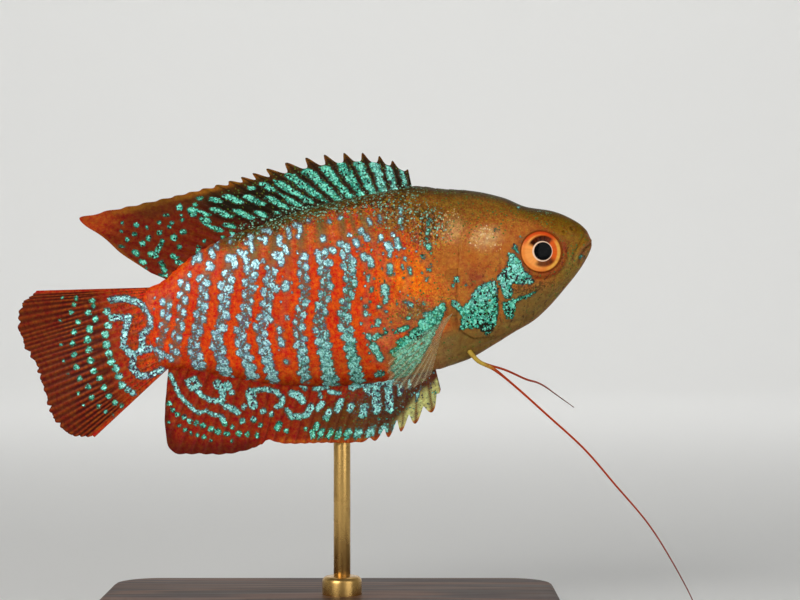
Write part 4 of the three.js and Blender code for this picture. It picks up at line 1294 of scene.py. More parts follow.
def eye_inputs(tree):
    """The pupil, ring and iris, painted by how far and which way a place lies from the eye's middle."""
    place = parts(fish_place(tree))
    ahead = minus(place["X"], EYE_AT[0] + PUPIL_FORWARD)
    above = minus(place["Z"], EYE_AT[1])
    flat = add_node(tree, "CombineXYZ", {0: ahead, 1: above}).outputs[0]
    away = length(flat)
    ring_place = add_node(tree, "CombineXYZ", {0: plus(ahead, RING_BEHIND), 1: above}).outputs[0]
    ring_away = length(ring_place)
    iris_place = add_node(tree, "CombineXYZ", {0: plus(ahead, IRIS_BEHIND), 1: above}).outputs[0]
    iris_away = length(iris_place)
    direction = add_node(tree, "VectorMath", {0: flat}, operation="NORMALIZE").outputs[0]
    facing = parts(direction)
    spread = add_node(tree, "VectorMath", {0: direction, 1: (2.2, 2.2, 2.2)}, operation="MULTIPLY").outputs[0]
    streaks = noise(spread, 2.4, 4)
    mottle = noise(flat, 2.6, 4)
    iris = mix(between(ahead, -1.2, 1.2), IRIS_BACK, IRIS_FRONT)
    uneven = plus(iris_away, times(mottle, 0.3))
    iris = mix(between(uneven, 2.05, 2.45, 0, 0.55), iris, IRIS_EDGE)
    forward_down = minus(facing["X"], times(facing["Y"], 0.6))
    gold_arc = times(between(iris_away, 2, 2.25), between(forward_down, 0.3, 0.95))
    iris = mix(times(gold_arc, 0.75), iris, IRIS_GOLD)
    above_pupil = times(between(facing["Y"], 0.5, 0.75), between(away, 2.2, 1.9))
    iris = mix(times(above_pupil, between(mottle, 0.1, 0.35)), iris, ABOVE_PUPIL)
    red_arc = times(between(facing["Y"], 0.35, 0.8), between(iris_away, 2.05, 2.4))
    iris = mix(times(red_arc, 0.85), iris, IRIS_RED)
    below_pupil = times(between(facing["Y"], -0.62, -0.9), between(away, 2.2, 1.8))
    iris = mix(times(below_pupil, 0.9), iris, BELOW_PUPIL)
    iris = mix(between(streaks, 0.35, 0.8, 0, 0.3), iris, IRIS_STREAK)
    rim = mix(between(iris_away, IRIS_RADIUS - 0.08, IRIS_RADIUS + 0.14), iris, LID_BROWN)
    rim = mix(between(iris_away, IRIS_RADIUS + 0.12, IRIS_RADIUS + 0.3), rim, LID_EDGE)
    ringed = mix(between(ring_away, RING_RADIUS, RING_RADIUS + 0.07), RING_PALE, rim)
    whole = mix(between(away, PUPIL_RADIUS, PUPIL_RADIUS + 0.04), PUPIL_BLACK, ringed)
    return {
        "Base Color": whole,
        "Roughness": 0.4,
        "Specular IOR Level": 0.02,
        "Coat Weight": 0.2,
        "Coat Roughness": 0.03,
        "Coat IOR": 1.3,
    }


eye_material = finish_material("painted_eye", eye_inputs)
for word, side in SIDES:
    bpy.ops.mesh.primitive_uv_sphere_add(segments=BALL_SEGMENTS, ring_count=BALL_RINGS, radius=1)
    eye = bpy.context.object
    eye.name = f"eye_ball_{word}"
    ball = np.array([v.co for v in eye.data.vertices])
    out, flat = ball[:, 2], ball[:, :2]
    from_axis = np.linalg.norm(flat, axis=1)
    forward = flat[:, 0] * EYE_RADIUS * -side
    edge = EYE_EDGE - EYE_TURN * forward
    dome = edge + EYE_BULGE * np.sqrt((1 - from_axis**2).clip(0)) ** 1.1
    bowl = edge - (EYE_EDGE - EYE_BACK) * np.sqrt((1 - from_axis**2).clip(0))
    lens = LENS_BULGE * smooth(*LENS_EDGE, from_axis * EYE_RADIUS)
    depth = np.where(out >= 0, dome + lens, bowl)
    points = np.stack([EYE_AT[0] + forward, side * depth, EYE_AT[1] + flat[:, 1] * EYE_RADIUS], -1)
    eye.data.vertices.foreach_set("co", in_frame(points).ravel().astype(np.float32))
    bpy.ops.object.mode_set(mode="EDIT")
    bpy.ops.mesh.select_all(action="SELECT")
    bpy.ops.mesh.normals_make_consistent(inside=False)
    bpy.ops.object.mode_set(mode="OBJECT")
    bpy.ops.object.shade_smooth()
    eye.data.materials.append(eye_material)
    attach(eye, "root")
    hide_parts(f"eye_{word}")

# Dorsal fin: a thin web on fine rays, sixteen of them stiff spines whose tips stand clear of its edge,
# the rest drawn out into a pointed red lobe. Rooted in the ridge of the back.
DORSAL_ROOT = (13.2, -20.4)
DORSAL_EDGE = [
    (13.2, 13.2), (11.4, 14.8), (8.4, 16.4), (5.3, 17.1), (0.1, 17.5), (-5.2, 17.1), (-10.8, 16.5),
    (-16.4, 16.2), (-22.6, 16.1), (-27, 16.1), (-30.1, 15.8), (-27.8, 13.2), (-25.4, 10.1), (-22.3, 7),
]
DORSAL_RAYS = 23
DORSAL_SLANT = smooth_through([
    (0, 0), (0.045, 1), (0.089, 1.55), (0.134, 2.25), (0.179, 3.02), (0.268, 4), (0.357, 5),
    (0.467, 5.75), (0.55, 6.35), (0.63, 6.95), (0.72, 7.6), (0.81, 8.55), (0.869, 9.75), (0.914, 10.7),
    (0.958, 11.95), (1, 13),
])
RAY_ROOT_THICK = 0.42
RAY_TIP_THICK = 0.2
WEB_THICK = 0.12
RAY_SHARPNESS = 6
FORK_FROM, FORK_TO = -0.12, 0.2
ROOT_SWELL = 0.35
ROOT_SWELL_TO = 0.16
ROOT_SINK = 0.35
FIN_MAP_MARGIN = 0.01


def curve_through(points):
    """A smooth line through the points: the place at each number counted along the list."""
    at = np.array([points[0], *points, points[-1]], float)
    at[0] = 2 * at[1] - at[2]
    at[-1] = 2 * at[-2] - at[-3]

    def place(number):
        number = np.clip(np.asarray(number, float), 0, len(points) - 1)
        i = np.minimum(number.astype(int), len(points) - 2)
        t = (number - i)[..., None]
        p0, p1, p2, p3 = (at[i + k] for k in range(4))
        chords = (p1 - p0, p2 - p1, p3 - p2)
        knots = [np.sqrt(np.linalg.norm(chord, axis=-1, keepdims=True)) + 1e-9 for chord in chords]
        start = ((p1 - p0) / knots[0] - (p2 - p0) / (knots[0] + knots[1]) + (p2 - p1) / knots[1]) * knots[1]
        end = ((p2 - p1) / knots[1] - (p3 - p1) / (knots[1] + knots[2]) + (p3 - p2) / knots[2]) * knots[1]
        bend = 2 * p1 - 2 * p2 + start + end
        lean = 3 * p2 - 3 * p1 - 2 * start - end
        return p1 + start * t + lean * t**2 + bend * t**3

    return place


def fin_web(name, root, tip, rays, steps, reach, bow=None, fork=0, thin=1, ridges=1):
    """A fin as one closed sheet, thickened along its rays.

    root and tip give x and z of its two long sides for u from 0 to 1. reach says how far the web goes
    towards the tip line, from u and its closeness to a ray. Returns the piece and its points' x, z,
    ray number and height up the fin."""
    along, across = steps
    u = np.linspace(0, 1, along + 1)[:, None]
    ray_number = u * rays
    on_ray = np.abs(np.cos(math.pi * ray_number))
    v = np.linspace(0, 1, across + 1)[None, :] * reach(u, on_ray)
    start, end = root(u[:, 0])[:, None, :], tip(u[:, 0])[:, None, :]
    flat = start + (end - start) * v[..., None]
    x, z = flat[..., 0], flat[..., 1]
    ridge = on_ray**RAY_SHARPNESS
    if fork:
        split = smooth(fork + FORK_FROM, fork + FORK_TO, v)
        twin = np.abs(np.cos(2 * math.pi * ray_number)) ** RAY_SHARPNESS
        ridge = ridge * (1 - split) + twin * split
    thick = thin * (WEB_THICK + (RAY_ROOT_THICK + (RAY_TIP_THICK - RAY_ROOT_THICK) * v) * ridge * ridges)
    thick = thick + ROOT_SWELL * thin * smooth(ROOT_SWELL_TO, 0, v)
    side_y = np.zeros_like(x) if bow is None else bow(u, v)
    near = np.stack([x, side_y - thick / 2, z], -1).reshape(-1, 3)
    far = np.stack([x, side_y + thick / 2, z], -1).reshape(-1, 3)
    points = np.concatenate([near, far])
    row, count = across + 1, len(near)
    faces = []
    for i in range(along):
        for j in range(across):
            a = i * row + j
            faces.append((a, a + row, a + row + 1, a + 1))
            faces.append((count + a, count + a + 1, count + a + row + 1, count + a + row))
    border = [i * row for i in range(along + 1)] + [along * row + j for j in range(1, across + 1)]
    border += [i * row + across for i in range(along - 1, -1, -1)] + list(range(across - 1, 0, -1))
    for a, b in zip(border, border[1:] + border[:1]):
        faces.append((b, a, count + a, count + b))
    faces = turned_out(points, faces)
    piece = mesh_piece(name, points, faces)
    numbers = np.broadcast_to(ray_number, x.shape)
    paint(piece, "web", np.tile(np.stack([numbers, v, np.zeros_like(x)], -1).reshape(-1, 3), (2, 1)))
    wide = np.ptp(x) + FIN_MAP_MARGIN
    on_map = [FIN_MAP_MARGIN + (1 - 2 * FIN_MAP_MARGIN) * (line - line.min()) / wide for line in (x, z)]
    flat_map = np.stack(on_map, -1).reshape(-1, 2)
    tall = float(flat_map[:, 1].max()) + 2 * FIN_MAP_MARGIN
    far_map = flat_map + (0, tall)
    corner = np.concatenate([flat_map, far_map]) / max(1, 2 * tall)
    loops = np.concatenate([np.array(face) for face in faces])
    lay_out(piece, "OFBake", corner[loops])
    return piece, x.ravel(), z.ravel(), numbers.ravel(), v.ravel()


def paint_fin(piece, first_tint, coats, **values):
    """Stores a fin's markings, the same on both its faces: coats of a tint and amount over a first one."""
    colour = np.broadcast_to(first_tint, (len(coats[0][1]), 3))
    for coat_tint, amount in coats:
        colour = colour + (coat_tint - colour) * np.clip(amount, 0, 1)[:, None]
    for name, value in {"ground": colour, **values}.items():
        paint(piece, name, np.concatenate([value, value]))


DORSAL_SPOTS = [
    (0.42, -16.9, 14.6), (0.4, -15.6, 13.9, -15.3, 13.4), (0.22, -14.3, 15.2, -13.9, 15.1),
    (0.3, -14.8, 14.5), (0.32, -14.4, 12.5, -13.6, 12), (0.2, -16.9, 13.5), (0.25, -16.9, 12.9),
    (0.2, -24.6, 14.1), (0.32, -22.9, 13.5), (0.17, -24.9, 13.1), (0.28, -23.3, 12.4),
    (0.22, -21.6, 12.9), (0.26, -24.4, 11.9), (0.13, -25.6, 11.3, -25, 11.1), (0.36, -22.6, 11),
    (0.34, -21.7, 11.5), (0.34, -20.1, 11.9), (0.33, -23.8, 10.1, -23.5, 9.8),
    (0.28, -23.3, 8.7, -22.8, 8.5), (0.18, -22.8, 7.7), (0.3, -20, 10.7, -20.5, 10.1, -20.9, 9.7),
    (0.38, -21.8, 9.4, -21.3, 9.1), (0.42, -18.4, 10.9), (0.36, -17.1, 11.4), (0.2, -18.8, 12.4),
    (0.2, -18.3, 12.8), (0.2, -19.9, 13.2), (0.16, -19, 14, -18.6, 13.9), (0.3, -18, 9.6),
    (0.3, -20.7, 8, -20.5, 6.9), (0.14, -21.2, 6.5, -20.3, 6.2), (0.25, -19.1, 8.6, -18.6, 8.3),
    (0.32, -18.6, 7.6, -18.2, 7.3), (0.24, -17.7, 6.9), (0.26, -15.5, 9, -15.7, 8.2), (0.2, -14.6, 9.6),
    (0.2, -12.2, 9.6), (0.26, -10.9, 9.8),
]
FIN_DARK = tint(26, 18, 2)
FIN_BROWN = tint(80, 46, 8)
LOBE_RED = tint(112, 31, 4)
LOBE_TIP = tint(164, 62, 14)
DORSAL_MARGIN = tint(146, 88, 18)
DORSAL_RAY = tint(30, 16, 3)
DORSAL_MESH = (368, 70)
RAY_JOINTS = 150


def dorsal_reach(u, on_ray):
    """The web is cut back between the spines in front, and hardly at all between the soft rays."""
    notch = 0.19 * smooth(0.62, 0.25, u) + 0.02
    return 1 - notch * (1 - on_ray ** (2 + 3 * smooth(0.4, 0.1, u)))


def dorsal_root(u):
    """Along the ridge of the back, a little sunk into it."""
    x = DORSAL_ROOT[0] + (DORSAL_ROOT[1] - DORSAL_ROOT[0]) * u
    return np.stack([x, back(x) - ROOT_SINK], -1)


dorsal_edge = curve_through(DORSAL_EDGE)
dorsal, x, z, ray, v = fin_web(
    "dorsal_web", dorsal_root, lambda u: dorsal_edge(DORSAL_SLANT(u)), DORSAL_RAYS, DORSAL_MESH, dorsal_reach
)
# Blue streaks lie in the webs between the rays, broken towards the rear, with spots on the soft lobe.
phase = np.abs(ray - np.floor(ray) - 0.5)
lobe = smooth(-12.5, -18, x + 0.3 * (z - 12))
streak = (0.36 - phase) * (1.5 + 0.8 * v)
broken = 0.5 + 0.5 * np.sin(v * 13 + np.floor(ray) * 4.4)
streak -= 0.8 * smooth(0.45, 0.85, broken) * smooth(-2, -6, x) + 0.1 * smooth(0.6, 0.9, broken)
streak -= 1.2 * smooth(0.74, 0.86, v) + 1.2 * smooth(0.16, 0.05, v) * smooth(4, -2, x) + 1.5 * lobe
streak -= 0.25 * smooth(10.4, 12.5, x)
blue = np.maximum(streak, marks_depth(x, z, DORSAL_SPOTS) * 1.6 + 0.1)
red_rear = smooth(-11, -17, x + 0.6 * (z - 13)) + 0.8 * smooth(-4, -14, x) * smooth(12.6, 10.4, z)
root_flecks = 0.75 * smooth(0.24, 0.05, v) * smooth(-13, -8, x)
coats = [
    (LOBE_RED, red_rear),
    (FIN_BROWN, 0.6 * smooth(0.66, 0.82, v) * (1 - lobe)),
    (DORSAL_MARGIN, smooth(0.84, 0.95, v) * smooth(-29, -22, x)),
    (FIN_BROWN, 0.55 * smooth(-14, -19, x) * smooth(13.2, 14.6, z) * smooth(-24, -21, x)),
    (LOBE_TIP, smooth(-23, -28.5, x) * smooth(12, 14.5, z)),
]
paint_fin(
    dorsal,
    FIN_DARK,
    coats,
    blue=blue,
    teal=0.95 - 0.3 * smooth(6, 10, x),
    rays=0.9 - 0.75 * smooth(-8, -17, x),
    dark=np.full_like(x, 0.12),
    fleck=root_flecks + 0.4 * smooth(-14, -8, x) * smooth(0.95, 0.8, v),
)


def ray_lines(turn, sharp):
    """1 on each fin ray and 0 between them, from the ray number as a turn."""
    return maths("POWER", maths("ABSOLUTE", maths("COSINE", turn)), sharp)


def fin_inputs(tree, ray_colour, sharp=14, forked=False):
    """A fin's shader inputs: the skin's paint, with the rays drawn in a colour of their own."""
    web = parts(painted(tree, "web", "Vector"))
    turn = times(web["X"], math.pi)
    line = ray_lines(turn, sharp)
    if forked:
        twin = ray_lines(times(turn, 2), sharp)
        split = between(web["Y"], 0.4, 0.6)
        line = plus(times(line, minus(1, split)), times(twin, split))
    joints = maths("SINE", times(web["Y"], RAY_JOINTS))
    line = times(line, between(joints, -1, 0.2, 0.72, 1))
    ground = mix(times(line, painted(tree, "rays")), painted(tree, "ground", "Color"), ray_colour)
    depth, names = painted(tree, "blue"), ("Teal", "Dark", "Fleck")
    inputs = fish_surface(tree, ground, depth, names, (0.3, 0.00006), (0.5, 0.32), 0.25)
    return inputs | {"Specular IOR Level": 0.08, "Coat Weight": 0.03, "Coat Roughness": 0.15}


def finish_fin(piece, material, node):
    """Gives a piece its material, hangs it on the body's root and hides the model's part that it stands in
    for.
    """
    piece.data.materials.append(material)
    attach(piece, "root")
    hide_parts(node)


dorsal_material = finish_material("dorsal_paint", lambda tree: fin_inputs(tree, DORSAL_RAY))
finish_fin(dorsal, dorsal_material, "dorsal_fin")

# Anal fin: deepest in front, where its spines end in red points past a yellow-green web, then a step
# and a red rear lobe with arcs of small blue spots. Rooted along the keel.
ANAL_ROOT = (11.3, -22.6)
ANAL_EDGE = [
    (11.4, -15.6), (10.4, -17.8), (8.3, -18.9), (5.4, -19.9), (2.4, -20.4), (-1.6, -20), (-4.9, -19.3),
    (-8.8, -18.6), (-12.4, -17.8), (-14.4, -18.1), (-17.6, -18.1), (-20.8, -17.4), (-24.5, -16.3),
    (-24.8, -13.9), (-24.3, -11), (-23.3, -7.6),
]
ANAL_RAYS = 27
ANAL_SLANT = smooth_through([
    (0, 0), (0.0295, 1.1), (0.059, 2), (0.091, 2.7), (0.133, 3.4), (0.174, 4.05), (0.215, 4.55),
    (0.257, 5), (0.363, 6), (0.466, 6.8), (0.584, 8), (0.687, 9.5), (0.79, 11), (0.864, 11.9),
    (0.923, 13.6), (1, 15),
])
ANAL_MARKS = [
    (0.4, 0.2, -13, 1.8, -12.7, 2.2, -14), (0.4, 2.6, -13.2, 3.9, -13.1, 5.6, -13.2),
    (0.5, 3.3, -13.2, 2.7, -16.5), (0.46, 4.9, -13.2, 4.4, -16.8), (0.32, 6.4, -14, 6.1, -15),
    (0.16, 7.6, -13.8, 7.5, -14.5), (0.14, 8.5, -15.4, 8, -16.4), (0.24, -2.8, -12.9, -1.7, -13.4),
    (0.24, -4.6, -12.2, -3, -12.2), (0.16, -4.1, -12.3, -4.1, -13.4),
    (0.42, -7.6, -12.2, -6.9, -12.5, -6.5, -13.3), (0.3, -6.9, -10.7, -6, -11.3, -5.9, -11.8),
    (0.24, -5.3, -10.2, -3.9, -11.2), (0.34, -2.6, -11.3, -1.4, -12), (0.36, -1.6, -14.4, -2.3, -15.4),
    (0.38, -3.4, -15.5, -3.9, -16.2), (0.36, -0.4, -15.3, -0.7, -15.7), (0.48, 1.2, -15.9, 0.8, -16.7),
    (0.34, -4.1, -14.2, -4.7, -14.7), (0.36, -5.6, -14.3, -6.3, -15.2),
    (0.3, -8.7, -14.2, -8.4, -15, -7.4, -15.3, -6.6, -15.2), (0.32, -5.3, -16.8, -5.6, -17.2),
    (0.22, -6.9, -17), (0.2, -22.6, -6.4, -22.3, -7.8, -22, -9.3, -21.3, -10.4, -20.8, -11.3, -20, -12.1),
    (0.18, -20, -12.1, -19, -12, -18.3, -12.6, -17.2, -13.1), (0.3, -17.2, -13.4, -17, -14.2),
    (0.2, -16.1, -14.8), (0.3, -14.7, -14.3), (0.34, -13.2, -14.4), (0.2, -12.5, -15.3),
    (0.26, -20.6, -7.8, -19.6, -7.6, -19.3, -8.6, -20.2, -8.8, -20.6, -8),
    (0.24, -19.9, -8.9, -19.2, -9.9, -18.2, -10.8, -17.3, -11.1),
    (0.5, -16.9, -8.9, -16.4, -9.6, -15.6, -9.4), (0.36, -16.4, -10.2, -16.8, -11.4), (0.3, -15.3, -10.4),
    (0.34, -16.3, -12, -15.4, -12.6, -15.1, -13.1), (0.52, -12.9, -10.9, -12.9, -12.6), (0.3, -14, -12.5),
    (0.27, -12.2, -10.7, -10.7, -10.9, -9.6, -11.5, -9, -12.4, -9.3, -13.3, -9.9, -13.4),
    (0.34, -11.8, -13.6), (0.28, -10.8, -14.2), (0.34, -10.1, -15.7, -10.4, -16.1), (0.26, -9.4, -16.7),
]
ANAL_DOTS = [
    (-23.5, -10.1, 0.2), (-23.2, -11, 0.2), (-22.7, -11.7, 0.24), (-22, -12.2, 0.22),
    (-21.4, -12.8, 0.24), (-20.6, -13.3, 0.24), (-19.8, -13.8, 0.26), (-18.9, -14.4, 0.3),
    (-18.1, -15, 0.3), (-17, -15.5, 0.3), (-15.5, -15.8, 0.3), (-14.4, -16.1, 0.26),
    (-13.2, -16.5, 0.24), (-22.8, -13.2, 0.14), (-22.2, -13.9, 0.16), (-21.6, -14.5, 0.12),
    (-20.8, -14.9, 0.16), (-20, -15.3, 0.2), (-16.5, -16.5, 0.1), (-19.2, -15.9, 0.08),
    (-24.1, -12.4, 0.08),
]
ANAL_RED = tint(146, 34, 5)
ANAL_DEEP = tint(84, 18, 2)
ANAL_FRONT = tint(100, 52, 14)
ANAL_SHADE = tint(58, 28, 14)
WEB_YELLOW = tint(214, 222, 140)
SPINE_RED = tint(176, 72, 16)
ANAL_RAY = tint(92, 34, 8)
ANAL_MESH = (378, 64)


def bright(depth):
    """The fins' marks are brighter near their edges than the body's."""
    return depth * 1.5 + 0.05


def dots_depth(x, z, dots):
    """How deep each place is inside a list of dots, each x, z and radius."""
    return marks_depth(x, z, [(radius, at_x, at_z) for at_x, at_z, radius in dots])


def anal_reach(u, on_ray):
    """The web is cut back between the spines in front, and steps down to the rear lobe."""
    notch = 0.24 * smooth(0.24, 0.12, u) + 0.012
    step_up = 0.05 * smooth(0.53, 0.575, u) * smooth(0.60, 0.585, u)
    return 1 - notch * (1 - on_ray**1.3) - step_up


def anal_root(u):
    """Along the keel, a little sunk into it."""
    x = ANAL_ROOT[0] + (ANAL_ROOT[1] - ANAL_ROOT[0]) * u
    return np.stack([x, belly(x) + ROOT_SINK], -1)


anal_edge = curve_through(ANAL_EDGE)
anal, x, z, ray, v = fin_web(
    "anal_web", anal_root, lambda u: anal_edge(ANAL_SLANT(u)), ANAL_RAYS, ANAL_MESH, anal_reach
)
# Marks and dots, a row of spots along the yellow margin in front, and scattered grains before them.
phase = np.abs(ray - np.floor(ray) - 0.5)
blue = np.maximum(bright(marks_depth(x, z, ANAL_MARKS) + 0.08), bright(dots_depth(x, z, ANAL_DOTS) + 0.1))
margin_low = 0.77 - 0.36 * smooth(4.5, 9.5, x)
margin_spot = 0.55 * (1 - np.hypot(phase / 0.44, (v - margin_low - 0.075) / 0.1))
blue = np.maximum(blue, np.where((x > -6.5) & (x < 5), margin_spot, -1))
grains_in_front = -0.11 - smooth(0, -4, x) - 0.5 * smooth(0.86, 0.95, v)
blue = np.maximum(blue, grains_in_front)
coats = [
    (ANAL_DEEP, 0.85 * smooth(0.74, 0.95, v) * smooth(-12, -15, x)),
    (ANAL_FRONT, smooth(-9, -3, x) * smooth(-13.5, -15.5, z)),
    (ANAL_SHADE, 0.8 * smooth(0, 4, x)),
    (WEB_YELLOW, 0.9 * smooth(3.6, 5.4, x) * smooth(margin_low - 0.1, margin_low + 0.1, v)),
    (SPINE_RED, 0.9 * smooth(0.88, 0.95, v) * smooth(-12.5, -11.5, x)),
]
paint_fin(
    anal,
    ANAL_RED,
    coats,
    blue=blue,
    teal=0.42 + 0.5 * smooth(0.5, 0.65, v) - 0.5 * smooth(-4, 2, x) * smooth(0.6, 0.8, v),
    rays=0.5 + 0.4 * smooth(4, 8, x),
    dark=(0.12 + 0.14 * smooth(-1, 2, x) * smooth(0.7, 0.5, v)) * smooth(0.8, 0.65, v),
    fleck=0.3 * smooth(-8, 2, x) * smooth(margin_low, margin_low - 0.1, v),
)
anal_material = finish_material("anal_paint", lambda tree: fin_inputs(tree, ANAL_RAY))
finish_fin(anal, anal_material, "anal_fin")

# Tail fin: a blunt fan of branched rays on the end of the tail stalk, its edge a little ragged,
# with arcs of blue spots on every second web and a dark outer third.
TAIL_EDGE = [
    (-37.3, 7.85), (-39.6, 6.5), (-40.8, 2.96), (-40.4, 0.8), (-39.5, -1.7), (-39.1, -5), (-38.7, -8.6),
    (-37, -11.3), (-34, -12.4),
]
TAIL_ROOT = [(-23.75, 5.2), (-24.75, 4), (-24.9, 0), (-24.75, -4.5), (-23.75, -5.7)]
TAIL_RAYS = 16
TAIL_SINK = 0.9
TAIL_DOTS = [
    (-29, 3.3, 0.42), (-29.2, 1.5, 0.42), (-29.8, 0.4, 0.44), (-29.9, -0.9, 0.44), (-29.8, -2.1, 0.42),
    (-29.7, -3.2, 0.42), (-29.3, -4.2, 0.42), (-29.1, -5.3, 0.4), (-29, -6.5, 0.42),
    (-28.3, -7.2, 0.38), (-27.8, -7.8, 0.34), (-30.6, 5.1, 0.3), (-30.6, 4.4, 0.26), (-31.4, 3.7, 0.32),
    (-30.7, 2.65, 0.36), (-31.7, 1.5, 0.4), (-32.2, 0.25, 0.42), (-32.3, -1.1, 0.38), (-32.3, -2.5, 0.38),
    (-32.2, -3.9, 0.36), (-31.6, -5, 0.34), (-31.3, -6.3, 0.34), (-30.9, -7.5, 0.32),
    (-30.4, -8.5, 0.3), (-29.6, -9.1, 0.24), (-32.6, 5.8, 0.2), (-33, 5.1, 0.22), (-33.6, 4.2, 0.26),
    (-33, 2.8, 0.26), (-33.7, 1.55, 0.3), (-34.2, 0.2, 0.28), (-34.3, -1.3, 0.28), (-34.3, -2.9, 0.28),
    (-34.2, -4.5, 0.26), (-33.3, -5.8, 0.26), (-33.2, -7.2, 0.24), (-32.5, -8.5, 0.22),
    (-31.8, -9.4, 0.2), (-31, -10.1, 0.16), (-34.3, 6.3, 0.1), (-35.2, 3.4, 0.12), (-35.7, 0.3, 0.12),
    (-35.8, -1.9, 0.12), (-35.6, -3.6, 0.12), (-34.8, -6.3, 0.12), (-34.4, -8, 0.1),
]
TAIL_RED = tint(176, 44, 12)
TAIL_WEB = tint(48, 8, 2)
TAIL_DARK = tint(86, 26, 5)
TAIL_RAY = tint(152, 58, 14)
TAIL_MESH = (256, 84)
TAIL_FORK = 0.45
TAIL_RIDGES = 0.35
TAIL_BOW = 0.5
TAIL_SEED = 7
RAGGED_SPREAD = 0.012
RAGGED_PAST_EDGE = 0.006

tail_root_line = curve_through(TAIL_ROOT)
tail_edge = curve_through(TAIL_EDGE)
rng = np.random.default_rng(TAIL_SEED)
ragged_edge = rng.normal(0, RAGGED_SPREAD, TAIL_RAYS * 4 + 1)


def tail_reach(u, on_ray):
    """The web is a little cut back between the forked rays, and uneven all along."""
    ragged = np.interp(u, np.linspace(0, 1, len(ragged_edge)), ragged_edge)
    twin = np.abs(np.cos(2 * math.pi * u * TAIL_RAYS))
    return 1 - 0.01 * (1 - twin) + np.minimum(ragged, RAGGED_PAST_EDGE)


def tail_start(u):
    """Down the end of the tail stalk, sunk into it."""
    return tail_root_line(u * (len(TAIL_ROOT) - 1)) + (TAIL_SINK, 0)


tail, x, z, ray, v = fin_web(
    "tail_web",
    tail_start,
    lambda u: tail_edge(u * (len(TAIL_EDGE) - 1)),
    TAIL_RAYS,
    TAIL_MESH,
    tail_reach,
    bow=lambda u, v: TAIL_BOW * np.sin(math.pi * v) * np.sin(2 * math.pi * u),
    fork=TAIL_FORK,
    ridges=TAIL_RIDGES,
)
blue = np.maximum(marks_depth(x, z, TAIL_MARKS), dots_depth(x, z, TAIL_DOTS))
coats = [
    (TAIL_RED, smooth(-24.5, -27, x)),
    (TAIL_WEB, 0.95 * smooth(-27.5, -31, x)),
    (TAIL_DARK, smooth(-34, -37, x)),
    (TAIL_RED, smooth(0.7, 0.2, np.minimum(ray, TAIL_RAYS - ray))),
]
paint_fin(
    tail,
    RED,
    coats,
    blue=bright(blue) + 0.1,
    teal=0.25 + 0.6 * smooth(-27, -31, x),
    rays=0.95 - 0.35 * smooth(-33, -37, x),
    dark=0.32 * smooth(-30, -27.5, x),
    fleck=np.zeros_like(x),
)
tail_material = finish_material("tail_paint", lambda tree: fin_inputs(tree, TAIL_RAY, sharp=3, forked=True))
finish_fin(tail, tail_material, "tail_fin")

# Breast fins: small fans of clear web on fine pale rays, standing a little off the body behind the
# gill covers and laid back over the breast.
PECTORAL_RAYS = 9
PECTORAL_AT = (14, -7.2)
PECTORAL_LENGTH = 10.6
PECTORAL_ROOT_OUT = 4.75
PECTORAL_EDGE_OUT = 7
PECTORAL_BOW = 0.45
PECTORAL_MESH = (126, 36)
PECTORAL_NOTCH = 0.03
PECTORAL_THIN = 0.5
PECTORAL_FROM, PECTORAL_SPREAD = math.radians(198), math.radians(42)
CLEAR_WEB = tint(176, 164, 120)
CLEAR_RAY = tint(200, 190, 140)


def pectoral_tip(u):
    """The fin's outer edge, a fan about its root."""
    angle = PECTORAL_FROM + PECTORAL_SPREAD * u
    reach = PECTORAL_LENGTH - 3 * (2 * u - 0.9) ** 2
    return np.stack([PECTORAL_AT[0] + reach * np.cos(angle), PECTORAL_AT[1] + reach * np.sin(angle)], -1)


def pectoral_root(u):
    """A short slanting line behind the gill cover."""
    down = u - 0.5
    return np.stack([PECTORAL_AT[0] - 1.8 * down, PECTORAL_AT[1] - 2 * down], -1)


def clear_inputs(tree):
    """Clear web with pale rays; only the rays hide what lies behind."""
    web = parts(painted(tree, "web", "Vector"))
    line = ray_lines(times(web["X"], math.pi), 8)
    cloud = noise(fish_place(tree), 1.3, 3)
    colour = mix(line, CLEAR_WEB, CLEAR_RAY)
    base = between(web["Y"], 0, 0.25, 0.4, 0.04)
    alpha = times_plus(line, 0.14, times_plus(cloud, 0.08, base))
    shine = {"Roughness": 0.35, "Coat Weight": 0.2, "Coat Roughness": 0.2}
    return {"Base Color": colour, "Alpha": alpha} | shine


clear_material = finish_material("clear_web", clear_inputs)
for word, side in SIDES:

    def out_from_side(u, v):
        out = PECTORAL_ROOT_OUT + (PECTORAL_EDGE_OUT - PECTORAL_ROOT_OUT) * v
        return side * (out + PECTORAL_BOW * np.sin(math.pi * v))

    pectoral, *_ = fin_web(
        f"pectoral_web_{word}",
        pectoral_root,
        pectoral_tip,
        PECTORAL_RAYS,
        PECTORAL_MESH,
        lambda u, on_ray: 1 - PECTORAL_NOTCH * (1 - on_ray),
        bow=out_from_side,
        thin=PECTORAL_THIN,
    )
    finish_fin(pectoral, clear_material, f"pectoral_fin_{word}")

# Pelvic feelers: each pelvic fin is one long thread, with a short second strand beside its root.
# The right one hangs forward and down, the left one is carried out to the fish's left.
FEELER_ROUTES = {
    "right": [
        (16.1, -1.75, -11.7), (16.9, -1.75, -13), (18.6, -1.6, -14.4), (20.43, -1.5, -16.6),
        (24.1, -2.2, -21.6), (27.9, -2.9, -26.95), (30.7, -3.3, -32.05), (33.9, -3.5, -38.05),
        (36.1, -3.5, -44.1), (37.5, -3.3, -49.2), (37.9, -3.1, -51.9),
    ],
    "left": [
        (16.1, 1.75, -11.7), (17, 1.9, -13.1), (20.2, 2.9, -15), (22.7, 5.4, -16.85), (24.3, 9.4, -17.8),
        (25.6, 14.2, -18.9), (27, 19.2, -20.4), (29.4, 23.4, -23),
    ],
}
FEELER_THICK = smooth_through([(0, 0.34), (0.07, 0.27), (0.16, 0.16), (0.5, 0.13), (1, 0.055)])
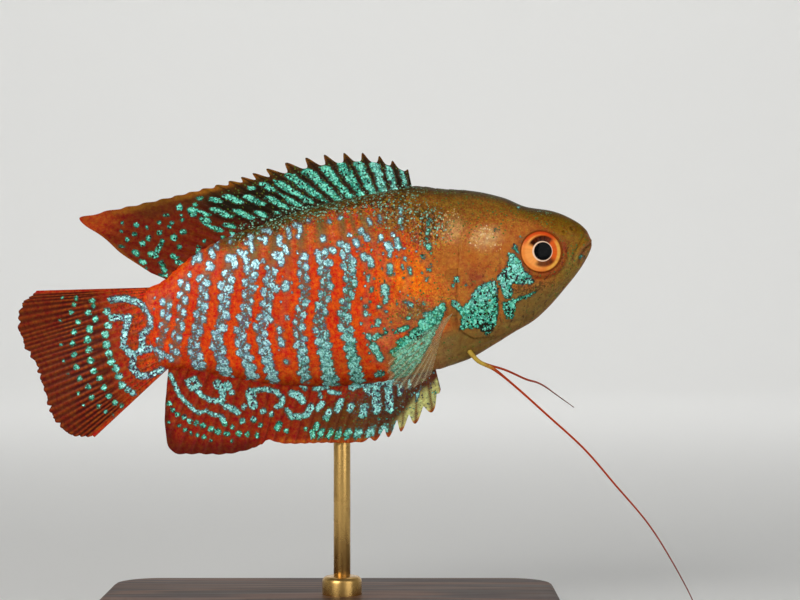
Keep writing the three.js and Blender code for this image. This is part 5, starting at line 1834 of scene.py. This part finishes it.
FEELER_STEPS = 150
FEELER_SIDES = 10
FEELER_SINK = 0.7
FEELER_ROOT_IN = (1, 0.6, 1)
STEP_GROWTH = 1.15
STRAND_STEPS = FEELER_STEPS // 7
STRAND_TURN = 5
STRAND_APART = 0.26
STRAND_THICK = (0.24, 0.06)
FEELER_PALE = tint(190, 158, 62)
FEELER_ORANGE = tint(180, 54, 4)
FEELER_BROWN = tint(112, 38, 10)
FEELER_DARK_RED = tint(130, 32, 6)


def thread(middle, radius):
    """Points and faces of a closed thread along a line of points."""
    ahead = np.gradient(middle, axis=0)
    ahead /= np.linalg.norm(ahead, axis=1, keepdims=True)
    across = np.cross(ahead, (0.1, 0.95, 0.3))
    across /= np.linalg.norm(across, axis=1, keepdims=True)
    over = np.cross(ahead, across)
    angle = np.arange(FEELER_SIDES) / FEELER_SIDES * 2 * math.pi
    circle = across[:, None] * np.cos(angle)[None, :, None] + over[:, None] * np.sin(angle)[None, :, None]
    points = (middle[:, None] + circle * radius[:, None, None]).reshape(-1, 3)
    faces = []
    for i in range(len(middle) - 1):
        for s in range(FEELER_SIDES):
            t = (s + 1) % FEELER_SIDES
            a = i * FEELER_SIDES
            faces.append((a + s, a + t, a + FEELER_SIDES + t, a + FEELER_SIDES + s))
    last = (len(middle) - 1) * FEELER_SIDES
    faces.append(tuple(reversed(range(FEELER_SIDES))))
    faces.append(tuple(last + s for s in range(FEELER_SIDES)))
    return points, turned_out(points, faces)


def feeler_inputs(tree):
    """Pale at the root, orange along the thread and brown towards its tip."""
    along = painted(tree, "along")
    place = fish_place(tree)
    bands = noise(place, 1.4, 3)
    past_root = between(times_plus(bands, 0.05, along), 0.09, 0.15)
    colour = mix(past_root, FEELER_PALE, FEELER_ORANGE)
    colour = mix(between(along, 0.45, 0.95), colour, FEELER_BROWN)
    colour = mix(between(bands, 0.45, 0.65, 0, 0.35), colour, FEELER_DARK_RED)
    joints = noise(place, 5, 1)
    bump = add_node(tree, "Bump", {"Height": joints, "Strength": 0.4, "Distance": 0.00005})
    return {
        "Base Color": colour,
        "Roughness": 0.5,
        "Normal": bump.outputs[0],
        "Specular IOR Level": 0.1,
        "Coat Weight": 0.1,
    }


feeler_material = finish_material("feeler_paint", feeler_inputs)
for word, route in FEELER_ROUTES.items():
    line = curve_through(route)
    number = np.linspace(0, 1, FEELER_STEPS + 1) ** STEP_GROWTH * (len(route) - 1)
    middle = line(number)
    sunk = middle[0] * FEELER_ROOT_IN + (-0.2, 0, FEELER_SINK)
    middle = np.concatenate([[sunk], middle])
    walked = np.concatenate([[0], np.cumsum(np.linalg.norm(np.diff(middle, axis=0), axis=1))])
    share = walked / walked[-1]
    points, faces = thread(middle, FEELER_THICK(share))
    short = middle[:STRAND_STEPS]
    twist = np.linspace(0, STRAND_TURN, STRAND_STEPS)
    apart = STRAND_APART * np.stack([np.sin(twist) * 0.4, np.cos(twist), np.full(STRAND_STEPS, -0.8)], -1)
    strand_points, strand_faces = thread(short + apart, np.linspace(*STRAND_THICK, STRAND_STEPS))
    faces = faces + [tuple(i + len(points) for i in face) for face in strand_faces]
    shares = np.concatenate([np.repeat(share, FEELER_SIDES), np.repeat(share[:STRAND_STEPS], FEELER_SIDES)])
    feeler = mesh_piece(f"feeler_{word}", np.concatenate([points, strand_points]), faces)
    paint(feeler, "along", shares)
    finish_fin(feeler, feeler_material, f"pelvic_feeler_{word}")

# Stand: a stained hardwood block with eased edges, a turned brass collar and a brass rod that goes up
# into the trunk. It carries the fish where water would.
BASE_SIZE = (0.060, 0.040, 0.005)
BASE_CORNER = 0.006
BASE_EASE = 0.0008
ROD_AT = (0.0015, 0.0023)
ROD_RADIUS = 0.0011
ROD_TOP = 0.0355
COLLAR_RADIUS = 0.0026
COLLAR_HEIGHT = 0.0024
COLLAR_EASE = 0.0007
ROD_EASE = 0.00015
COLLAR_SIDES, ROD_SIDES = 48, 32
STAND_SHARP_EDGE = math.radians(35)
WOOD_DARK = tint(58, 34, 22)
WOOD_LIGHT = tint(104, 66, 42)
WOOD_PORE = tint(40, 22, 14)
BRASS = tint(206, 166, 98)
BRASS_DULL = tint(150, 112, 60)
RING_SCALES, PORE_SCALES, BRUSH_SCALES = (7, 60, 90), (60, 900, 900), (2500, 2500, 20000)
TARNISH_PER_METRE = 320


def stretched(tree, scales):
    """Object coordinates multiplied by a scale for each axis."""
    coordinates = add_node(tree, "TexCoord").outputs["Object"]
    return add_node(tree, "Mapping", {"Vector": coordinates, "Scale": scales}).outputs[0]


def wood_inputs(tree):
    """Stained wood, its grain along the block: bands of growth rings and fine dark pores."""
    rings = noise(stretched(tree, RING_SCALES), 1, 2)
    ring_lines = maths("SINE", times(rings, 95))
    pores = noise(stretched(tree, PORE_SCALES), 1, 4, 0.7)
    colour = mix(between(ring_lines, -1, 1), WOOD_DARK, WOOD_LIGHT)
    colour = mix(between(pores, 0.5, 0.75, 0, 0.6), colour, WOOD_PORE)
    bump = add_node(tree, "Bump", {"Height": pores, "Strength": 0.25, "Distance": 0.0001})
    return {
        "Base Color": colour,
        "Roughness": between(pores, 0.3, 0.7, 0.5, 0.65),
        "Normal": bump.outputs[0],
        "Specular IOR Level": 0.25,
        "Coat Weight": 0.06,
        "Coat Roughness": 0.3,
    }


def brass_inputs(tree):
    """Brass turned on a lathe, with fine rings round it and a little tarnish."""
    brushed = noise(stretched(tree, BRUSH_SCALES), 1, 2)
    tarnish = noise(add_node(tree, "TexCoord").outputs["Object"], TARNISH_PER_METRE, 3)
    colour = mix(between(tarnish, 0.4, 0.75, 0, 0.5), BRASS, BRASS_DULL)
    bump = add_node(tree, "Bump", {"Height": brushed, "Strength": 0.15, "Distance": 0.00004})
    return {
        "Base Color": colour,
        "Metallic": 1,
        "Roughness": between(tarnish, 0.3, 0.8, 0.22, 0.42),
        "Normal": bump.outputs[0],
    }


def select_edges(piece, wanted):
    """Selects the edges, of the piece in edit mode, whose two ends pass a test."""
    bpy.ops.object.mode_set(mode="EDIT")
    bpy.ops.mesh.select_mode(type="EDGE")
    bpy.ops.mesh.select_all(action="DESELECT")
    bpy.ops.object.mode_set(mode="OBJECT")
    for edge in piece.data.edges:
        edge.select = wanted(*(piece.data.vertices[i].co for i in edge.vertices))
    bpy.ops.object.mode_set(mode="EDIT")


def finish_stand(piece, name, material, node):
    """Ends the work on a piece of the stand in edit mode, and names and paints it."""
    bpy.ops.object.mode_set(mode="OBJECT")
    bpy.ops.object.transform_apply(location=True, rotation=True, scale=True)
    bpy.ops.object.shade_smooth_by_angle(angle=STAND_SHARP_EDGE)
    piece.name = name
    finish_fin(piece, material, node)
    bpy.ops.object.select_all(action="DESELECT")


bpy.ops.object.select_all(action="DESELECT")
bpy.ops.mesh.primitive_cube_add(size=1, location=(0, 0, BASE_SIZE[2] / 2))
block = bpy.context.object
block.scale = BASE_SIZE
bpy.ops.object.transform_apply(location=True, scale=True)
select_edges(block, lambda a, b: abs(a.z - b.z) > BASE_SIZE[2] / 2)
bpy.ops.mesh.bevel(offset=BASE_CORNER, segments=10, affect="EDGES")
select_edges(block, lambda a, b: a.z > BASE_SIZE[2] * 0.9 and b.z > BASE_SIZE[2] * 0.9)
bpy.ops.mesh.bevel(offset=BASE_EASE, segments=4, affect="EDGES")
finish_stand(block, "stand_block", finish_material("stained_wood", wood_inputs), "stand_base")

brass_material = finish_material("brushed_brass", brass_inputs)
collar_at = (*ROD_AT, BASE_SIZE[2] + COLLAR_HEIGHT / 2)
bpy.ops.mesh.primitive_cylinder_add(
    vertices=COLLAR_SIDES, radius=COLLAR_RADIUS, depth=COLLAR_HEIGHT, location=collar_at
)
collar = bpy.context.object
bpy.ops.object.transform_apply(location=True)
collar_top = BASE_SIZE[2] + COLLAR_HEIGHT
select_edges(collar, lambda a, b: a.z > collar_top - 1e-5 and b.z > collar_top - 1e-5)
bpy.ops.mesh.bevel(offset=COLLAR_EASE, segments=4, affect="EDGES")
finish_stand(collar, "stand_collar_brass", brass_material, "stand_collar")

rod_length = ROD_TOP - BASE_SIZE[2]
rod_at = (*ROD_AT, BASE_SIZE[2] + rod_length / 2)
bpy.ops.mesh.primitive_cylinder_add(
    vertices=ROD_SIDES, radius=ROD_RADIUS, depth=rod_length, location=rod_at
)
rod = bpy.context.object
bpy.ops.object.transform_apply(location=True)
select_edges(rod, lambda a, b: abs(a.z - b.z) < 1e-6)
bpy.ops.mesh.bevel(offset=ROD_EASE, segments=2, affect="EDGES")
finish_stand(rod, "stand_rod_brass", brass_material, "stand_rod")
